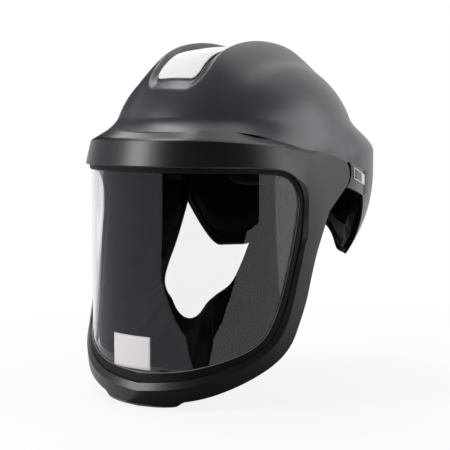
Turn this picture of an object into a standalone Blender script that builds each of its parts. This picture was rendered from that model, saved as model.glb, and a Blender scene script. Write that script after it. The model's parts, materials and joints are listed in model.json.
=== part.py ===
"""Powered air respirator headtop: a hard helmet with a flip-up visor, a head harness with a
ratchet, and the ducts that carry hose air from the nape over the crown to the face.

Frame: metres, +Z up, the face looks along -Y, the wearer's left is +X.
The origin is the middle of the visor's hinge line, at the centre of the wearer's head.
"""

import math

import bmesh
import bpy
from mathutils import Matrix, Vector

# Helmet shell
SHELL_WALL = 0.003
CROWN_HEIGHT = 0.112
DOME_HALF_WIDTH = 0.109
DOME_FRONT = 0.1275
DOME_BACK = 0.136
DOME_POWER = 2.35
BELT_HALF_WIDTH = 0.1115
BELT_BACK = 0.146
BELT_POWER = 2.8
BROW_RIM_HEIGHT = 0.0375
TEMPLE_RIM_HEIGHT = 0.020
RIM_TURN_START = 32.0
RIM_TURN_SPAN = 45.0
FLARE_HEIGHT = 0.0125
BELT_RIM_HEIGHT = 0.003
SKIRT_DEPTH = 0.084
SKIRT_DRAW_IN = 0.20
SKIRT_DRAW_POWER = 2.2
NAPE_ARCH_RISE = 0.026
SKIRT_EDGE_ANGLE = 117.0
SKIRT_EDGE_LEAN = 10.0

# Scoop on the crown that frames the pale insert
SCOOP_HALF_WIDTH = 0.0225
SCOOP_BEVEL = 0.0090
SCOOP_DEPTH = 0.0056
SCOOP_FRONT = 0.0930
SCOOP_FRONT_ARCH = 0.0020
SCOOP_FRONT_BEVEL = 0.0120
SCOOP_CORNER = 0.006
SCOOP_RIDGE = SCOOP_HALF_WIDTH + SCOOP_BEVEL
SWELL_HEIGHT = 0.0114
SWELL_START = SCOOP_HALF_WIDTH + 0.3 * SCOOP_BEVEL
SWELL_FLANK = 0.060
SWELL_FRONT = 0.125
SWELL_RUN = 0.068
SWELL_BACK = 0.112
INSERT_THICKNESS = 0.0012
INSERT_FRONT = 0.0942
INSERT_BACK = 0.060

# Visor
VISOR_RADIUS = 0.114
VISOR_FORWARD = 0.032
LENS_WALL = 0.002
LENS_LAP = 0.006
GASKET_WIDTH = 0.008
GASKET_RISE = 0.0022
FRAME_BACK = 0.002
FRAME_FACE = 0.0054
BROW_LIP = 0.0015
LIP_BACK = 0.0028
FRAME_BEVEL = 0.0065
BROW_FACE_LOW = 0.0050
BROW_FACE_HIGH = 0.0004
BROW_LEDGE_DEPTH = 0.0124
BROW_LEDGE_RISE = 0.0055
FRAME_WALL = 0.0026
RETAINER_WALL = 0.002
RETAINER_WIDTH = 0.015
CHIN_TAB_HALF = 0.044
CHIN_TAB_DROP = 0.0035
SEAL_WALL = 0.0015

# Visor hinge
NOSE_RADIUS = 0.018
PIN_RADIUS = 0.006
PIN_FLANGE_RADIUS = 0.012
PIN_FLANGE_WALL = 0.0016
WASHER_WALL = 0.0018
BRACKET_WALL = 0.0034
BRACKET_HALF_LENGTH = 0.017
BRACKET_DROP = 0.016
BRACKET_TOP = 0.046
CLIP_WALL = 0.0022
CLIP_RADIUS = 0.0083
COVER_WALL = 0.0032
COVER_PROUD = 0.0042
COVER_START = 142.0
COVER_END = 240.0
COVER_REAR_GAP = 2.0
COVER_TOP = 0.006

# Air ducts and hose inlet
DUCT_DEPTH = 0.009
DUCT_WALL = 0.002
CROWN_DUCT_HALF_WIDTH = 0.036
CROWN_DUCT_FRONT = 0.078
CROWN_DUCT_BACK = 0.100
DIFFUSER_LENGTH = 0.022
INLET_HEIGHT = -0.026
INLET_RADIUS = 0.0155
INLET_WALL = 0.0022
INLET_LENGTH = 0.022
INLET_FLANGE_RADIUS = 0.0215
INLET_FLANGE_WALL = 0.0024
NUT_GAP = 0.0026

# Head harness
BAND_HALF_WIDTH = 0.080
BAND_FRONT = 0.098
BAND_WALL = 0.002
BAND_LOW = 0.010
BAND_HIGH = 0.032
BAND_REACH_BACK = 0.030
SWEAT_PAD_WALL = 0.005
SWEAT_PAD_ANGLE = 58.0
HANGER_WALL = 0.009
STRAP_WIDTH = 0.019
STRAP_WALL = 0.0012
STRAP_CROWN = 0.088
STRAP_FOOT = 0.040
CROWN_PAD_RADIUS = 0.030
CROWN_PAD_WALL = 0.006
FRONT_HANGER_ANGLE = 38.0

# Nape cradle and ratchet
CRADLE_BACK = 0.104
CRADLE_LOW = -0.024
CRADLE_HIGH = 0.000
CRADLE_TRAVEL = 0.020
CRADLE_REACH = 0.012
HOUSING_HALF_WIDTH = 0.034
HOUSING_HALF_HEIGHT = 0.015
HOUSING_DEPTH = 0.009
KNOB_RADIUS = 0.016
KNOB_DEPTH = 0.011
KNOB_LOBES = 14
KNOB_LOBE_DEPTH = 0.0012
PINION_RADIUS = 0.006
NAPE_PAD_WALL = 0.006

CLEARANCE = 0.0004
HINGE_GAP = 0.0009
COVER_GAP = 0.0018
DUCT_SEAT_GAP = 0.0013
DIFFUSER_SEAT_GAP = 0.0005
REAR_DUCT_GAP = 0.0013

# Outlines of the visor, flattened: distance round the visor from the middle of the face, and height
WINDOW_OUTLINE = [
    (0.000, 0.003),
    (0.060, 0.003),
    (0.112, 0.002),
    (0.137, -0.003),
    (0.147, -0.018),
    (0.146, -0.040),
    (0.134, -0.090),
    (0.122, -0.124),
    (0.108, -0.143),
    (0.084, -0.155),
    (0.045, -0.166),
    (0.000, -0.171),
]
BROW_EDGE = [(0.000, 0.0315), (0.063, 0.0315), (0.121, 0.027), (0.165, 0.0205), (0.192, 0.0188)]
ARM_EDGE = [
    (0.200, -0.0205),
    (0.190, -0.029),
    (0.180, -0.045),
    (0.169, -0.066),
    (0.162, -0.086),
    (0.156, -0.107),
    (0.148, -0.127),
    (0.137, -0.1475),
    (0.119, -0.163),
    (0.090, -0.178),
    (0.060, -0.189),
    (0.030, -0.1945),
    (0.000, -0.196),
]
# Shares of the frame's half length that face each other on its inner and outer edges
FRAME_SHARES = [(0.0, 0.0), (0.24, 0.36), (0.36, 0.46), (0.53, 0.54), (0.72, 0.72), (1.0, 1.0)]
FRAME_STATIONS = 46

PARTS = "powered_air_respirator"
CUTTERS = "cutters"


# Scene and object helpers


def clear_scene():
    for obj in list(bpy.data.objects):
        bpy.data.objects.remove(obj, do_unlink=True)
    for name in (PARTS, CUTTERS):
        bpy.context.scene.collection.children.link(bpy.data.collections.new(name))


def material(name, colour, roughness, metallic=0.0, alpha=1.0):
    made = bpy.data.materials.new(name)
    made.use_nodes = True
    shader = made.node_tree.nodes["Principled BSDF"]
    shader.inputs["Base Color"].default_value = (*colour, 1.0)
    shader.inputs["Roughness"].default_value = roughness
    shader.inputs["Metallic"].default_value = metallic
    shader.inputs["Alpha"].default_value = alpha
    return made


def add_part(name, mesh, finish, collection=PARTS):
    mesh.materials.append(finish)
    obj = bpy.data.objects.new(name, mesh)
    bpy.data.collections[collection].objects.link(obj)
    return obj


def add_cutter(name, mesh):
    obj = bpy.data.objects.new(name, mesh)
    bpy.data.collections[CUTTERS].objects.link(obj)
    obj.hide_render = True
    obj.display_type = "WIRE"
    return obj


def cut(obj, cutter):
    modifier = obj.modifiers.new("cut " + cutter.name, "BOOLEAN")
    modifier.operation = "DIFFERENCE"
    modifier.object = cutter


def solidify(obj, wall, even=True):
    """Thickens an open surface towards its back."""
    modifier = obj.modifiers.new("wall", "SOLIDIFY")
    modifier.thickness = wall
    modifier.offset = -1.0
    modifier.use_even_offset = even


def round_edges(obj, width, segments=2):
    modifier = obj.modifiers.new("round", "BEVEL")
    modifier.width = width
    modifier.segments = segments
    modifier.limit_method = "ANGLE"
    modifier.angle_limit = math.radians(40)


def smooth(mesh, angle=35.0):
    mesh.shade_smooth()
    mesh.set_sharp_from_angle(angle=math.radians(angle))


def grid_mesh(name, rows, close_rows=False, close_columns=False, caps=False):
    """A surface through rows of points. Closed rows are rings, and caps fill the first and last ring."""
    made = bmesh.new()
    verts = [[made.verts.new(p) for p in row] for row in rows]
    count = len(rows[0])
    for i in range(len(rows) if close_columns else len(rows) - 1):
        below, above = verts[i], verts[(i + 1) % len(rows)]
        for j in range(count if close_rows else count - 1):
            k = (j + 1) % count
            made.faces.new((below[j], below[k], above[k], above[j]))
    if caps:
        made.faces.new(reversed(verts[0]))
        made.faces.new(verts[-1])
    bmesh.ops.recalc_face_normals(made, faces=made.faces)
    mesh = bpy.data.meshes.new(name)
    made.to_mesh(mesh)
    made.free()
    smooth(mesh)
    return mesh


def face_away_from(mesh, point):
    """Turns an open surface so that its faces look away from a point inside the helmet."""
    total = sum((p.normal.dot(p.center - point) for p in mesh.polygons), 0.0)
    if total < 0:
        mesh.flip_normals()


def turned(name, profile, finish, steps=32):
    """A turned piece about local Z from a profile of (radius, height), top to bottom on its outside."""
    mesh = bpy.data.meshes.new(name)
    count = len(profile)
    mesh.from_pydata(
        [(r, 0.0, z) for r, z in profile], [(i, (i + 1) % count) for i in range(count)], []
    )
    obj = add_part(name, mesh, finish)
    screw = obj.modifiers.new("turn", "SCREW")
    screw.steps = steps
    screw.render_steps = steps
    screw.use_merge_vertices = True
    screw.merge_threshold = 0.00001
    return obj


def ring_profile(inner, outer, low, high):
    return [(outer, high), (outer, low), (inner, low), (inner, high)]


# Curves and easing


def ease(x):
    x = min(1.0, max(0.0, x))
    return x * x * (3.0 - 2.0 * x)


def blend(a, b, share):
    return a + (b - a) * share


def spline(points, steps):
    """Points along a smooth curve through the given ones, with the same number of steps in each span."""
    pts = [Vector(p) for p in points]
    ends = [2 * pts[0] - pts[1], *pts, 2 * pts[-1] - pts[-2]]
    found = []
    for a, b, c, d in zip(ends, ends[1:], ends[2:], ends[3:]):
        for i in range(steps):
            t = i / steps
            found.append(
                0.5
                * (
                    2 * b + (c - a) * t + (
                        2 * a - 5 * b + 4 * c - d
                    ) * t**2 + (3 * b - a - 3 * c + d) * t**3
                )
            )
    return [*found, pts[-1]]


def along(points, share):
    """The point at a share of a polyline's length."""
    lengths = [(b - a).length for a, b in zip(points, points[1:])]
    left = share * sum(lengths)
    for a, b, length in zip(points, points[1:], lengths):
        if left <= length:
            return a.lerp(b, left / length)
        left -= length
    return points[-1].copy()


def lookup(pairs, x):
    for (x0, y0), (x1, y1) in zip(pairs, pairs[1:]):
        if x <= x1:
            return blend(y0, y1, (x - x0) / (x1 - x0))
    return pairs[-1][1]


# The helmet's surface. Angles are round the head: 0 is the face, 90 the wearer's left, 180 the nape.


def oval(angle, half_width, half_length, power):
    s, c = abs(math.sin(angle)), abs(math.cos(angle))
    return ((s / half_width) ** power + (c / half_length) ** power) ** (-1.0 / power)


def visor_reach(angle, inset):
    """How far the visor's wall, moved in by inset, is from the head's axis."""
    radius = VISOR_RADIUS - inset
    c, s = math.cos(angle), math.sin(angle)
    reach = VISOR_FORWARD * c + math.sqrt(radius**2 - (VISOR_FORWARD * s) ** 2)
    if reach * c > VISOR_FORWARD:
        return reach
    return radius / max(s, 0.2)


def rear_share(angle):
    return ease((math.degrees(angle) - 82.0) / 34.0)


def rim_reach(angle):
    """The shell's plan at its lower edge: inside the visor's ledge in front, the wider belt behind."""
    temple = ease((math.degrees(angle) - 45.0) / 40.0)
    inset = blend(BROW_LEDGE_DEPTH + HINGE_GAP, 0.006, temple)
    front = visor_reach(min(angle, math.radians(100.0)), inset)
    back = oval(angle, BELT_HALF_WIDTH, BELT_BACK, BELT_POWER)
    return blend(front, back, rear_share(angle))


def rim_height(angle):
    """Height of the shell's lower edge in front of the skirt."""
    degrees = math.degrees(angle)
    brow = blend(BROW_RIM_HEIGHT, TEMPLE_RIM_HEIGHT, ease((degrees - RIM_TURN_START) / RIM_TURN_SPAN))
    return blend(brow, BELT_RIM_HEIGHT, max(0.0, (degrees - 76.0) / (SKIRT_EDGE_ANGLE - 76.0)))


def skirt_height(angle):
    """Height of the lower edge of the nape skirt: two lobes and an arch between them."""
    degrees = math.degrees(angle)
    edge = ease((degrees - SKIRT_EDGE_ANGLE) / (2.2 * SKIRT_EDGE_LEAN))
    arch = ease((degrees - 150.0) / 24.0)
    return BELT_RIM_HEIGHT - 0.024 - (SKIRT_DEPTH - 0.021) * edge**0.7 + NAPE_ARCH_RISE * arch


def low_edge(angle):
    if math.degrees(angle) <= SKIRT_EDGE_ANGLE:
        return rim_height(angle)
    drop = (math.degrees(angle) - SKIRT_EDGE_ANGLE) / 2.0
    return blend(BELT_RIM_HEIGHT, skirt_height(angle), min(1.0, drop))


def flare_band(angle):
    """Heights between which the dome turns out to its lower plan."""
    degrees = math.degrees(angle)
    rear = rear_share(angle)
    temple = ease((degrees - 42.0) / 38.0)
    top = blend(blend(BROW_RIM_HEIGHT + FLARE_HEIGHT, 0.044, temple), 0.048, rear)
    return top, blend(rim_height(angle), 0.016, rear)


def dome_plan(angle):
    return oval(angle, DOME_HALF_WIDTH, DOME_FRONT if math.cos(angle) > 0 else DOME_BACK, 2.0)


def dome_reach(angle, z):
    plan = dome_plan(angle)
    share = min(1.0, max(0.0, z) / CROWN_HEIGHT)
    return plan * (1.0 - share**DOME_POWER) ** (1.0 / DOME_POWER)


def side_reach(angle, z):
    """Distance of the shell's outside from the head's axis at a height."""
    top, bottom = flare_band(angle)
    share = min(1.0, max(0.0, (top - z) / (top - bottom)))
    rear = rear_share(angle)
    turn = blend(share**2, ease(share), rear)
    low = rim_reach(angle)
    if z < 0:
        low *= 1.0 - SKIRT_DRAW_IN * (-z / SKIRT_DEPTH) ** SKIRT_DRAW_POWER
    return blend(dome_reach(angle, z), low, turn)


def side_point(angle, z, inset=0.0, side=1):
    """A point of the shell's side, moved in along its slope by inset."""
    step = 0.001
    reach = side_reach(angle, z)
    slope = (side_reach(angle, z + step) - side_reach(angle, z - step)) / (2 * step)
    lean = math.atan(slope)
    reach -= inset * math.cos(lean)
    z += inset * math.sin(lean)
    return Vector((side * reach * math.sin(angle), -reach * math.cos(angle), z))


def crown_swell(x, forward):
    """Height of the broad swelling along the crown, above the plain dome."""
    flank = 1.0 - ease((abs(x) - SWELL_START) / (SWELL_FLANK - SWELL_START))
    front = ease((SWELL_FRONT - forward) / SWELL_RUN)
    back = ease((forward + SWELL_BACK) / (0.6 * SWELL_BACK))
    return SWELL_HEIGHT * flank * front * back


def ramp(share, soft=0.22):
    """A straight ramp from 0 to 1 with rounded ends."""
    share = min(1.0, max(0.0, share))
    if share > 0.5:
        return 1.0 - ramp(1.0 - share, soft)
    if share < soft:
        return share**2 / (2 * soft * (1 - soft))
    return (share - 0.5 * soft) / (1 - soft)


def scoop_front(x):
    """How far forward the scoop's floor runs: its front edge bows so that it looks straight on the dome."""
    return SCOOP_FRONT + SCOOP_FRONT_ARCH * max(0.0, 1.0 - (x / SCOOP_HALF_WIDTH) ** 2)


def scoop_rise(x, forward):
    """Height of the crown above the plain dome: the swelling less the scoop cut in it."""
    across = abs(x) - SCOOP_HALF_WIDTH + SCOOP_CORNER
    stretch = SCOOP_BEVEL / SCOOP_FRONT_BEVEL
    ahead = stretch * (forward - scoop_front(x)) + SCOOP_CORNER
    outside = math.hypot(max(across, 0.0), max(ahead, 0.0)) + min(max(across, ahead), 0.0) - SCOOP_CORNER
    back = ease((forward + SWELL_BACK) / (0.6 * SWELL_BACK))
    return crown_swell(x, forward) - SCOOP_DEPTH * back * (1.0 - ramp(outside / SCOOP_BEVEL))


def crown_height(x, forward):
    angle = math.atan2(abs(x), forward)
    share = min(1.0, math.hypot(x, forward) / dome_plan(angle))
    return CROWN_HEIGHT * (1.0 - share**DOME_POWER) ** (1.0 / DOME_POWER) + scoop_rise(x, forward)


def crown_point(x, forward, drop=0.0):
    return Vector((x, -forward, crown_height(x, forward) - drop))


def crown_offset(x, forward, depth, scoop=True):
    """A point under the crown, moved in along the slope of the plain dome."""
    step = 0.001
    rise = 0.0 if scoop else -1.0

    def plain(px, pf):
        return crown_height(px, pf) - scoop_rise(px, pf)

    slope_x = (plain(x + step, forward) - plain(x - step, forward)) / (2 * step)
    slope_f = (plain(x, forward + step) - plain(x, forward - step)) / (2 * step)
    normal = Vector((-slope_x, slope_f, 1.0)).normalized()
    point = crown_point(x, forward)
    point.z += rise * scoop_rise(x, forward)
    return point - depth * normal


# Lines of the crown's grid: across the head, and shares of its length from the face to the nape
CROWN_ACROSS = [
    0.0, 0.5 * SCOOP_HALF_WIDTH, SCOOP_HALF_WIDTH, 0.5 * (SCOOP_HALF_WIDTH + SCOOP_RIDGE), SCOOP_RIDGE,
]
CROWN_ACROSS += [0.038, 0.046, 0.057, 0.070]
CROWN_HALF_LENGTH = 0.109
CROWN_SIDE_LENGTH = 0.070
CROWN_ALONG = [1.0, 0.982, 0.935, 0.873, 0.864, 0.76, 0.64, 0.44, 0.22, 0.0]
CROWN_ALONG += [-0.22, -0.4, -0.53, -0.594, -0.7, -0.85, -1.0]
HELMET_CENTRE = Vector((0.0, 0.0, 0.0))


def crown_length(x):
    return blend(CROWN_HALF_LENGTH, CROWN_SIDE_LENGTH, (abs(x) / CROWN_ACROSS[-1]) ** 2)


def column_heights(angle, start):
    """Heights down one column of the shell's side, closer together where it turns out."""
    top, bottom = flare_band(angle)
    low = low_edge(angle)
    middle = blend(blend(top, low, 0.5), bottom, rear_share(angle))
    heights = [blend(start, top, i / 3) for i in range(1, 4)]
    heights += [blend(top, middle, i / 4) for i in range(1, 5)]
    return heights + [blend(middle, low, i / 4) for i in range(1, 5)]


def make_shell(finish):
    across = [-x for x in reversed(CROWN_ACROSS[1:])] + CROWN_ACROSS
    made = bmesh.new()
    crown = [[made.verts.new(crown_point(x, b * crown_length(x))) for x in across] for b in CROWN_ALONG]
    for below, above in zip(crown, crown[1:]):
        for j in range(len(across) - 1):
            made.faces.new((below[j], below[j + 1], above[j + 1], above[j]))
    ring = crown[0] + [row[-1] for row in crown[1:-1]]
    ring += list(reversed(crown[-1])) + [row[0] for row in reversed(crown[1:-1])]
    columns = []
    for vert in ring:
        angle = math.atan2(abs(vert.co.x), -vert.co.y)
        side = 1 if vert.co.x >= 0 else -1
        start = vert.co.z - crown_swell(vert.co.x, -vert.co.y)
        column = [vert]
        for z in column_heights(angle, start):
            point = side_point(angle, z, 0.0, side)
            point.z += crown_swell(point.x, -point.y)
            column.append(made.verts.new(point))
        columns.append(column)
    for left, right in zip(columns, columns[1:] + columns[:1]):
        for k in range(len(left) - 1):
            made.faces.new((left[k], left[k + 1], right[k + 1], right[k]))
    bmesh.ops.recalc_face_normals(made, faces=made.faces)
    mesh = bpy.data.meshes.new("helmet_shell")
    made.to_mesh(mesh)
    made.free()
    smooth(mesh, 30.0)
    face_away_from(mesh, HELMET_CENTRE)
    shell = add_part("helmet_shell", mesh, finish)
    solidify(shell, SHELL_WALL)
    return shell


def make_crown_insert(finish):
    half = SCOOP_HALF_WIDTH - 2 * CLEARANCE
    across = [-half, -0.5 * half, 0.0, 0.5 * half, half]
    shares = [b for b in CROWN_ALONG if -INSERT_BACK <= b * CROWN_HALF_LENGTH <= INSERT_FRONT]
    lift = -(CLEARANCE + INSERT_THICKNESS)
    rows = [[crown_offset(x, b * crown_length(x), lift) for x in across] for b in shares]
    mesh = grid_mesh("crown_insert", rows)
    face_away_from(mesh, HELMET_CENTRE)
    solidify(add_part("crown_insert", mesh, finish), INSERT_THICKNESS)


def make_crown_duct(finish):
    half = CROWN_DUCT_HALF_WIDTH
    seat = SHELL_WALL + DUCT_SEAT_GAP
    across = [(-half, 0.0), (-half + 0.004, 0.0), (-half + 0.010, 1.0), (0.0, 1.0)]
    across += [(-x, d) for x, d in reversed(across[:-1])]
    count = 10
    forwards = [blend(CROWN_DUCT_FRONT, -CROWN_DUCT_BACK, i / count) for i in range(count + 1)]
    rows = [[crown_offset(x, f, seat + d * DUCT_DEPTH) for x, d in across] for f in forwards]
    mesh = grid_mesh("crown_duct", rows)
    face_away_from(mesh, HELMET_CENTRE)
    solidify(add_part("crown_duct", mesh, finish), DUCT_WALL)


def make_air_diffuser(finish):
    """A spreading nozzle in front of the crown duct that turns the air down behind the visor."""
    seat = SHELL_WALL + DIFFUSER_SEAT_GAP
    start = CROWN_DUCT_FRONT + 2 * CLEARANCE
    rows = []
    for i in range(6):
        share = i / 5
        half = blend(CROWN_DUCT_HALF_WIDTH, 1.45 * CROWN_DUCT_HALF_WIDTH, share)
        depth = blend(DUCT_DEPTH, 0.55 * DUCT_DEPTH, share)
        forward = blend(start, start + DIFFUSER_LENGTH, share)
        across = [
            (-1.0, 0.0), (-0.9, 0.0), (-0.75, 1.0), (-0.3, 1.0), (0.3, 1.0), (0.75, 1.0), (0.9, 0.0),
            (1.0, 0.0),
        ]
        rows.append(
            [
                crown_offset(x * half, forward * (1 - 0.10 * x * x * share), seat + d * depth, False)
                for x, d in across
            ]
        )
    mesh = grid_mesh("air_diffuser", rows)
    face_away_from(mesh, HELMET_CENTRE)
    solidify(add_part("air_diffuser", mesh, finish), DUCT_WALL, False)


def make_rear_duct(finish):
    """The inner wall of the nape's air space, joined to the shell along its sides and bottom."""
    start = SKIRT_EDGE_ANGLE + 6.0
    half = [start, start + 2.0, start + 8.0, 137.0, 146.0, 155.0, 162.0, 169.0, 175.0]
    columns = [(a, 1) for a in half] + [(180.0, 1)] + [(a, -1) for a in reversed(half)]
    levels = [0.0, 0.05, 0.14, 0.3, 0.5, 0.7, 0.84, 0.93, 1.0]
    seat = SHELL_WALL + REAR_DUCT_GAP
    rows = []
    for level in levels:
        row = []
        for degrees, side in columns:
            angle = math.radians(degrees)
            low = low_edge(angle) + 0.003
            z = blend(low, 0.052, level)
            inner = min(ease((degrees - start - 1.0) / 7.0), ease((level - 0.02) / 0.12))
            if degrees < 163.0:
                inner = min(inner, ease((0.97 - level) / 0.13))
            row.append(side_point(angle, z, seat + inner * DUCT_DEPTH, side))
        rows.append(row)
    mesh = grid_mesh("rear_duct", rows)
    face_away_from(mesh, HELMET_CENTRE)
    solidify(add_part("rear_duct", mesh, finish), DUCT_WALL)


def inlet_frame():
    """Where the hose inlet meets the shell, with local Z out along the shell's slope."""
    step = 0.001
    slope = side_reach(math.pi, INLET_HEIGHT + step) - side_reach(math.pi, INLET_HEIGHT - step)
    tilt = math.atan(slope / (2 * step))
    return Matrix.Translation(
        side_point(math.pi, INLET_HEIGHT)
    ) @ Matrix.Rotation(-math.pi / 2 - tilt, 4, "X")


def make_inlet(shell, finish, nut_finish, seal_finish):
    frame = inlet_frame()
    bore = INLET_RADIUS - INLET_WALL
    inner_end = -(SHELL_WALL + 0.6 * DUCT_DEPTH)
    seat = CLEARANCE
    bead = INLET_RADIUS + 0.0012
    profile = [
        (bore, INLET_LENGTH),
        (INLET_RADIUS, INLET_LENGTH),
        (bead, INLET_LENGTH - 0.002),
        (INLET_RADIUS, INLET_LENGTH - 0.004),
        (INLET_RADIUS, seat + INLET_FLANGE_WALL),
        (INLET_FLANGE_RADIUS, seat + INLET_FLANGE_WALL),
        (INLET_FLANGE_RADIUS, seat),
        (INLET_RADIUS, seat),
        (INLET_RADIUS, inner_end),
        (bore, inner_end),
    ]
    turned("hose_inlet", profile, finish, 36).matrix_world = frame
    top = -(SHELL_WALL + NUT_GAP)
    nut = ring_profile(INLET_RADIUS + CLEARANCE, INLET_RADIUS + 0.004, top - 0.0032, top)
    turned("inlet_nut", nut, nut_finish, 36).matrix_world = frame
    seal_inner = INLET_RADIUS + 0.5 * CLEARANCE
    low = seat + INLET_FLANGE_WALL + 0.004
    seal = [
        (seal_inner, low + 0.0022), (seal_inner + 0.001, low + 0.0018), (seal_inner + 0.001, low + 0.0004),
        (seal_inner, low),
    ]
    turned("inlet_seal", seal, seal_finish, 36).matrix_world = frame
    hole = [(0.0, 0.02), (INLET_RADIUS + CLEARANCE, 0.02), (INLET_RADIUS + CLEARANCE, -0.02), (0.0, -0.02)]
    cutter = turned_solid("inlet_hole", hole, None, 36, CUTTERS)
    cutter.matrix_world = frame
    cut(shell, cutter)


# The visor. Its pieces are drawn flat (round, height) and wrapped on the visor's wall.


def visor_point(round_, z, out):
    side = 1.0 if round_ >= 0 else -1.0
    reach = VISOR_RADIUS + out
    bend = VISOR_RADIUS * math.pi / 2
    length = abs(round_)
    if length <= bend:
        angle = length / VISOR_RADIUS
        return Vector((side * reach * math.sin(angle), -VISOR_FORWARD - reach * math.cos(angle), z))
    return Vector((side * reach, length - bend - VISOR_FORWARD, z))


def frame_edges():
    """Matching points of the window's edge and the frame's outer edge, from brow to chin on the left."""
    hinge = VISOR_RADIUS * math.pi / 2 + VISOR_FORWARD
    nose = [
        (hinge + NOSE_RADIUS * math.cos(math.radians(a)), NOSE_RADIUS * math.sin(math.radians(a)))
        for a in range(84, -76, -20)
    ]
    outer = spline([*BROW_EDGE, *nose, *ARM_EDGE], 8)
    window = spline(WINDOW_OUTLINE, 8)
    pairs = []
    for i in range(FRAME_STATIONS + 1):
        share = i / FRAME_STATIONS
        pairs.append((along(window, lookup(FRAME_SHARES, share)), along(outer, share)))
    return pairs


def ring_stations():
    """Stations round the window: start, direction to the outer edge, length, and share of brow."""
    stations = []
    for inner, outer in frame_edges():
        length = (outer - inner).length
        direction = (outer - inner) / length
        brow = 1.0 - ease((outer.x - 0.125) / 0.045) if outer.y > 0 else 0.0
        tab = ease((CHIN_TAB_HALF - outer.x) / 0.004) if outer.y < -0.15 else 0.0
        stations.append((inner, direction, length + tab * CHIN_TAB_DROP, brow))
    mirrored = [(Vector((-p.x, p.y)), Vector((-d.x, d.y)), n, b) for p, d, n, b in reversed(stations[1:-1])]
    return stations + mirrored


def visor_ring(name, section, finish):
    """A ring round the window: section gives (distance from its edge, outward) points at a station."""
    rows = []
    for inner, direction, length, brow in ring_stations():
        row = []
        for t, out in section(length, brow):
            flat = inner + t * direction
            row.append(visor_point(flat.x, flat.y, out))
        rows.append(row)
    mesh = grid_mesh(name, rows, close_rows=True, close_columns=True)
    return add_part(name, mesh, finish)


def frame_section(length, brow):
    inner = GASKET_WIDTH
    band = [
        (inner, -FRAME_BACK),
        (inner, LIP_BACK),
        (BROW_LIP, LIP_BACK),
        (BROW_LIP, BROW_FACE_LOW - 0.0004),
        (BROW_LIP + 0.0012, BROW_FACE_LOW),
        (length - 0.0014, BROW_FACE_HIGH + 0.0002),
        (length, BROW_FACE_HIGH - 0.0012),
        (length + BROW_LEDGE_RISE, -BROW_LEDGE_DEPTH),
        (length + BROW_LEDGE_RISE - FRAME_WALL, -BROW_LEDGE_DEPTH),
        (length - FRAME_WALL, -FRAME_BACK),
    ]
    arm = [
        (inner, -FRAME_BACK),
        (inner, LIP_BACK),
        (inner, LIP_BACK + 0.0003),
        (inner + 0.0005, LIP_BACK + 0.0007),
        (inner + FRAME_BEVEL, FRAME_FACE + 0.0002),
        (length - 0.0026, FRAME_FACE - 0.0008),
        (length, FRAME_FACE - 0.0028),
        (length, -FRAME_BACK + 0.0012),
        (length - 0.0012, -FRAME_BACK),
        (length - 0.004, -FRAME_BACK),
    ]
    corners = [(blend(a[0], b[0], brow), blend(a[1], b[1], brow)) for a, b in zip(arm, band)]
    front = between(corners[4], corners[5], 4)
    back = between(corners[9], corners[0], 4)
    return corners[:5] + front + corners[5:] + back


def between(a, b, parts):
    """Points that split a section's long side so that it follows the visor's curve."""
    return [(blend(a[0], b[0], i / parts), blend(a[1], b[1], i / parts)) for i in range(1, parts)]


def gasket_section(length, brow):
    outer = GASKET_WIDTH - CLEARANCE
    return [(0.0, CLEARANCE), (0.0, 0.0012), (outer, GASKET_RISE), (outer, CLEARANCE)]


def retainer_section(length, brow):
    front = -LENS_WALL - CLEARANCE
    back = front - RETAINER_WALL
    middle = 0.5 * RETAINER_WIDTH
    return [
        (-0.001, front), (middle, front), (RETAINER_WIDTH, front), (RETAINER_WIDTH, back), (middle, back),
        (-0.001, back),
    ]


def make_lens(finish):
    edge = [inner + LENS_LAP * direction for inner, direction, length, brow in ring_stations()]
    reach = max(p.x for p in edge) - 0.0004
    count = 44
    rows = []
    for i in range(count + 1):
        place = blend(-reach, reach, i / count)
        crossings = []
        for a, b in zip(edge, edge[1:] + edge[:1]):
            if (a.x - place) * (b.x - place) <= 0 and a.x != b.x:
                crossings.append(blend(a.y, b.y, (place - a.x) / (b.x - a.x)))
        low, high = min(crossings), max(crossings)
        back = -LENS_WALL
        rows.append(
            [
                visor_point(place, low, 0.0), visor_point(place, high, 0.0), visor_point(place, high, back),
                visor_point(place, low, back),
            ]
        )
    add_part("visor_lens", grid_mesh("visor_lens", rows, close_rows=True, caps=True), finish)


# The face opening in the fabric seal, from temple to chin: half width, forward, height
FACE_OPENING = [
    (0.0450, 0.0040, -0.0120),
    (0.0420, 0.0220, -0.0420),
    (0.0408, 0.0360, -0.0660),
    (0.0398, 0.0500, -0.0860),
    (0.0369, 0.0604, -0.1000),
    (0.0285, 0.0690, -0.1090),
    (0.0205, 0.0715, -0.1165),
    (0.0165, 0.0724, -0.1225),
    (0.0115, 0.0728, -0.1285),
    (0.0050, 0.0730, -0.1325),
    (0.0000, 0.0730, -0.1333),
]


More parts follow.
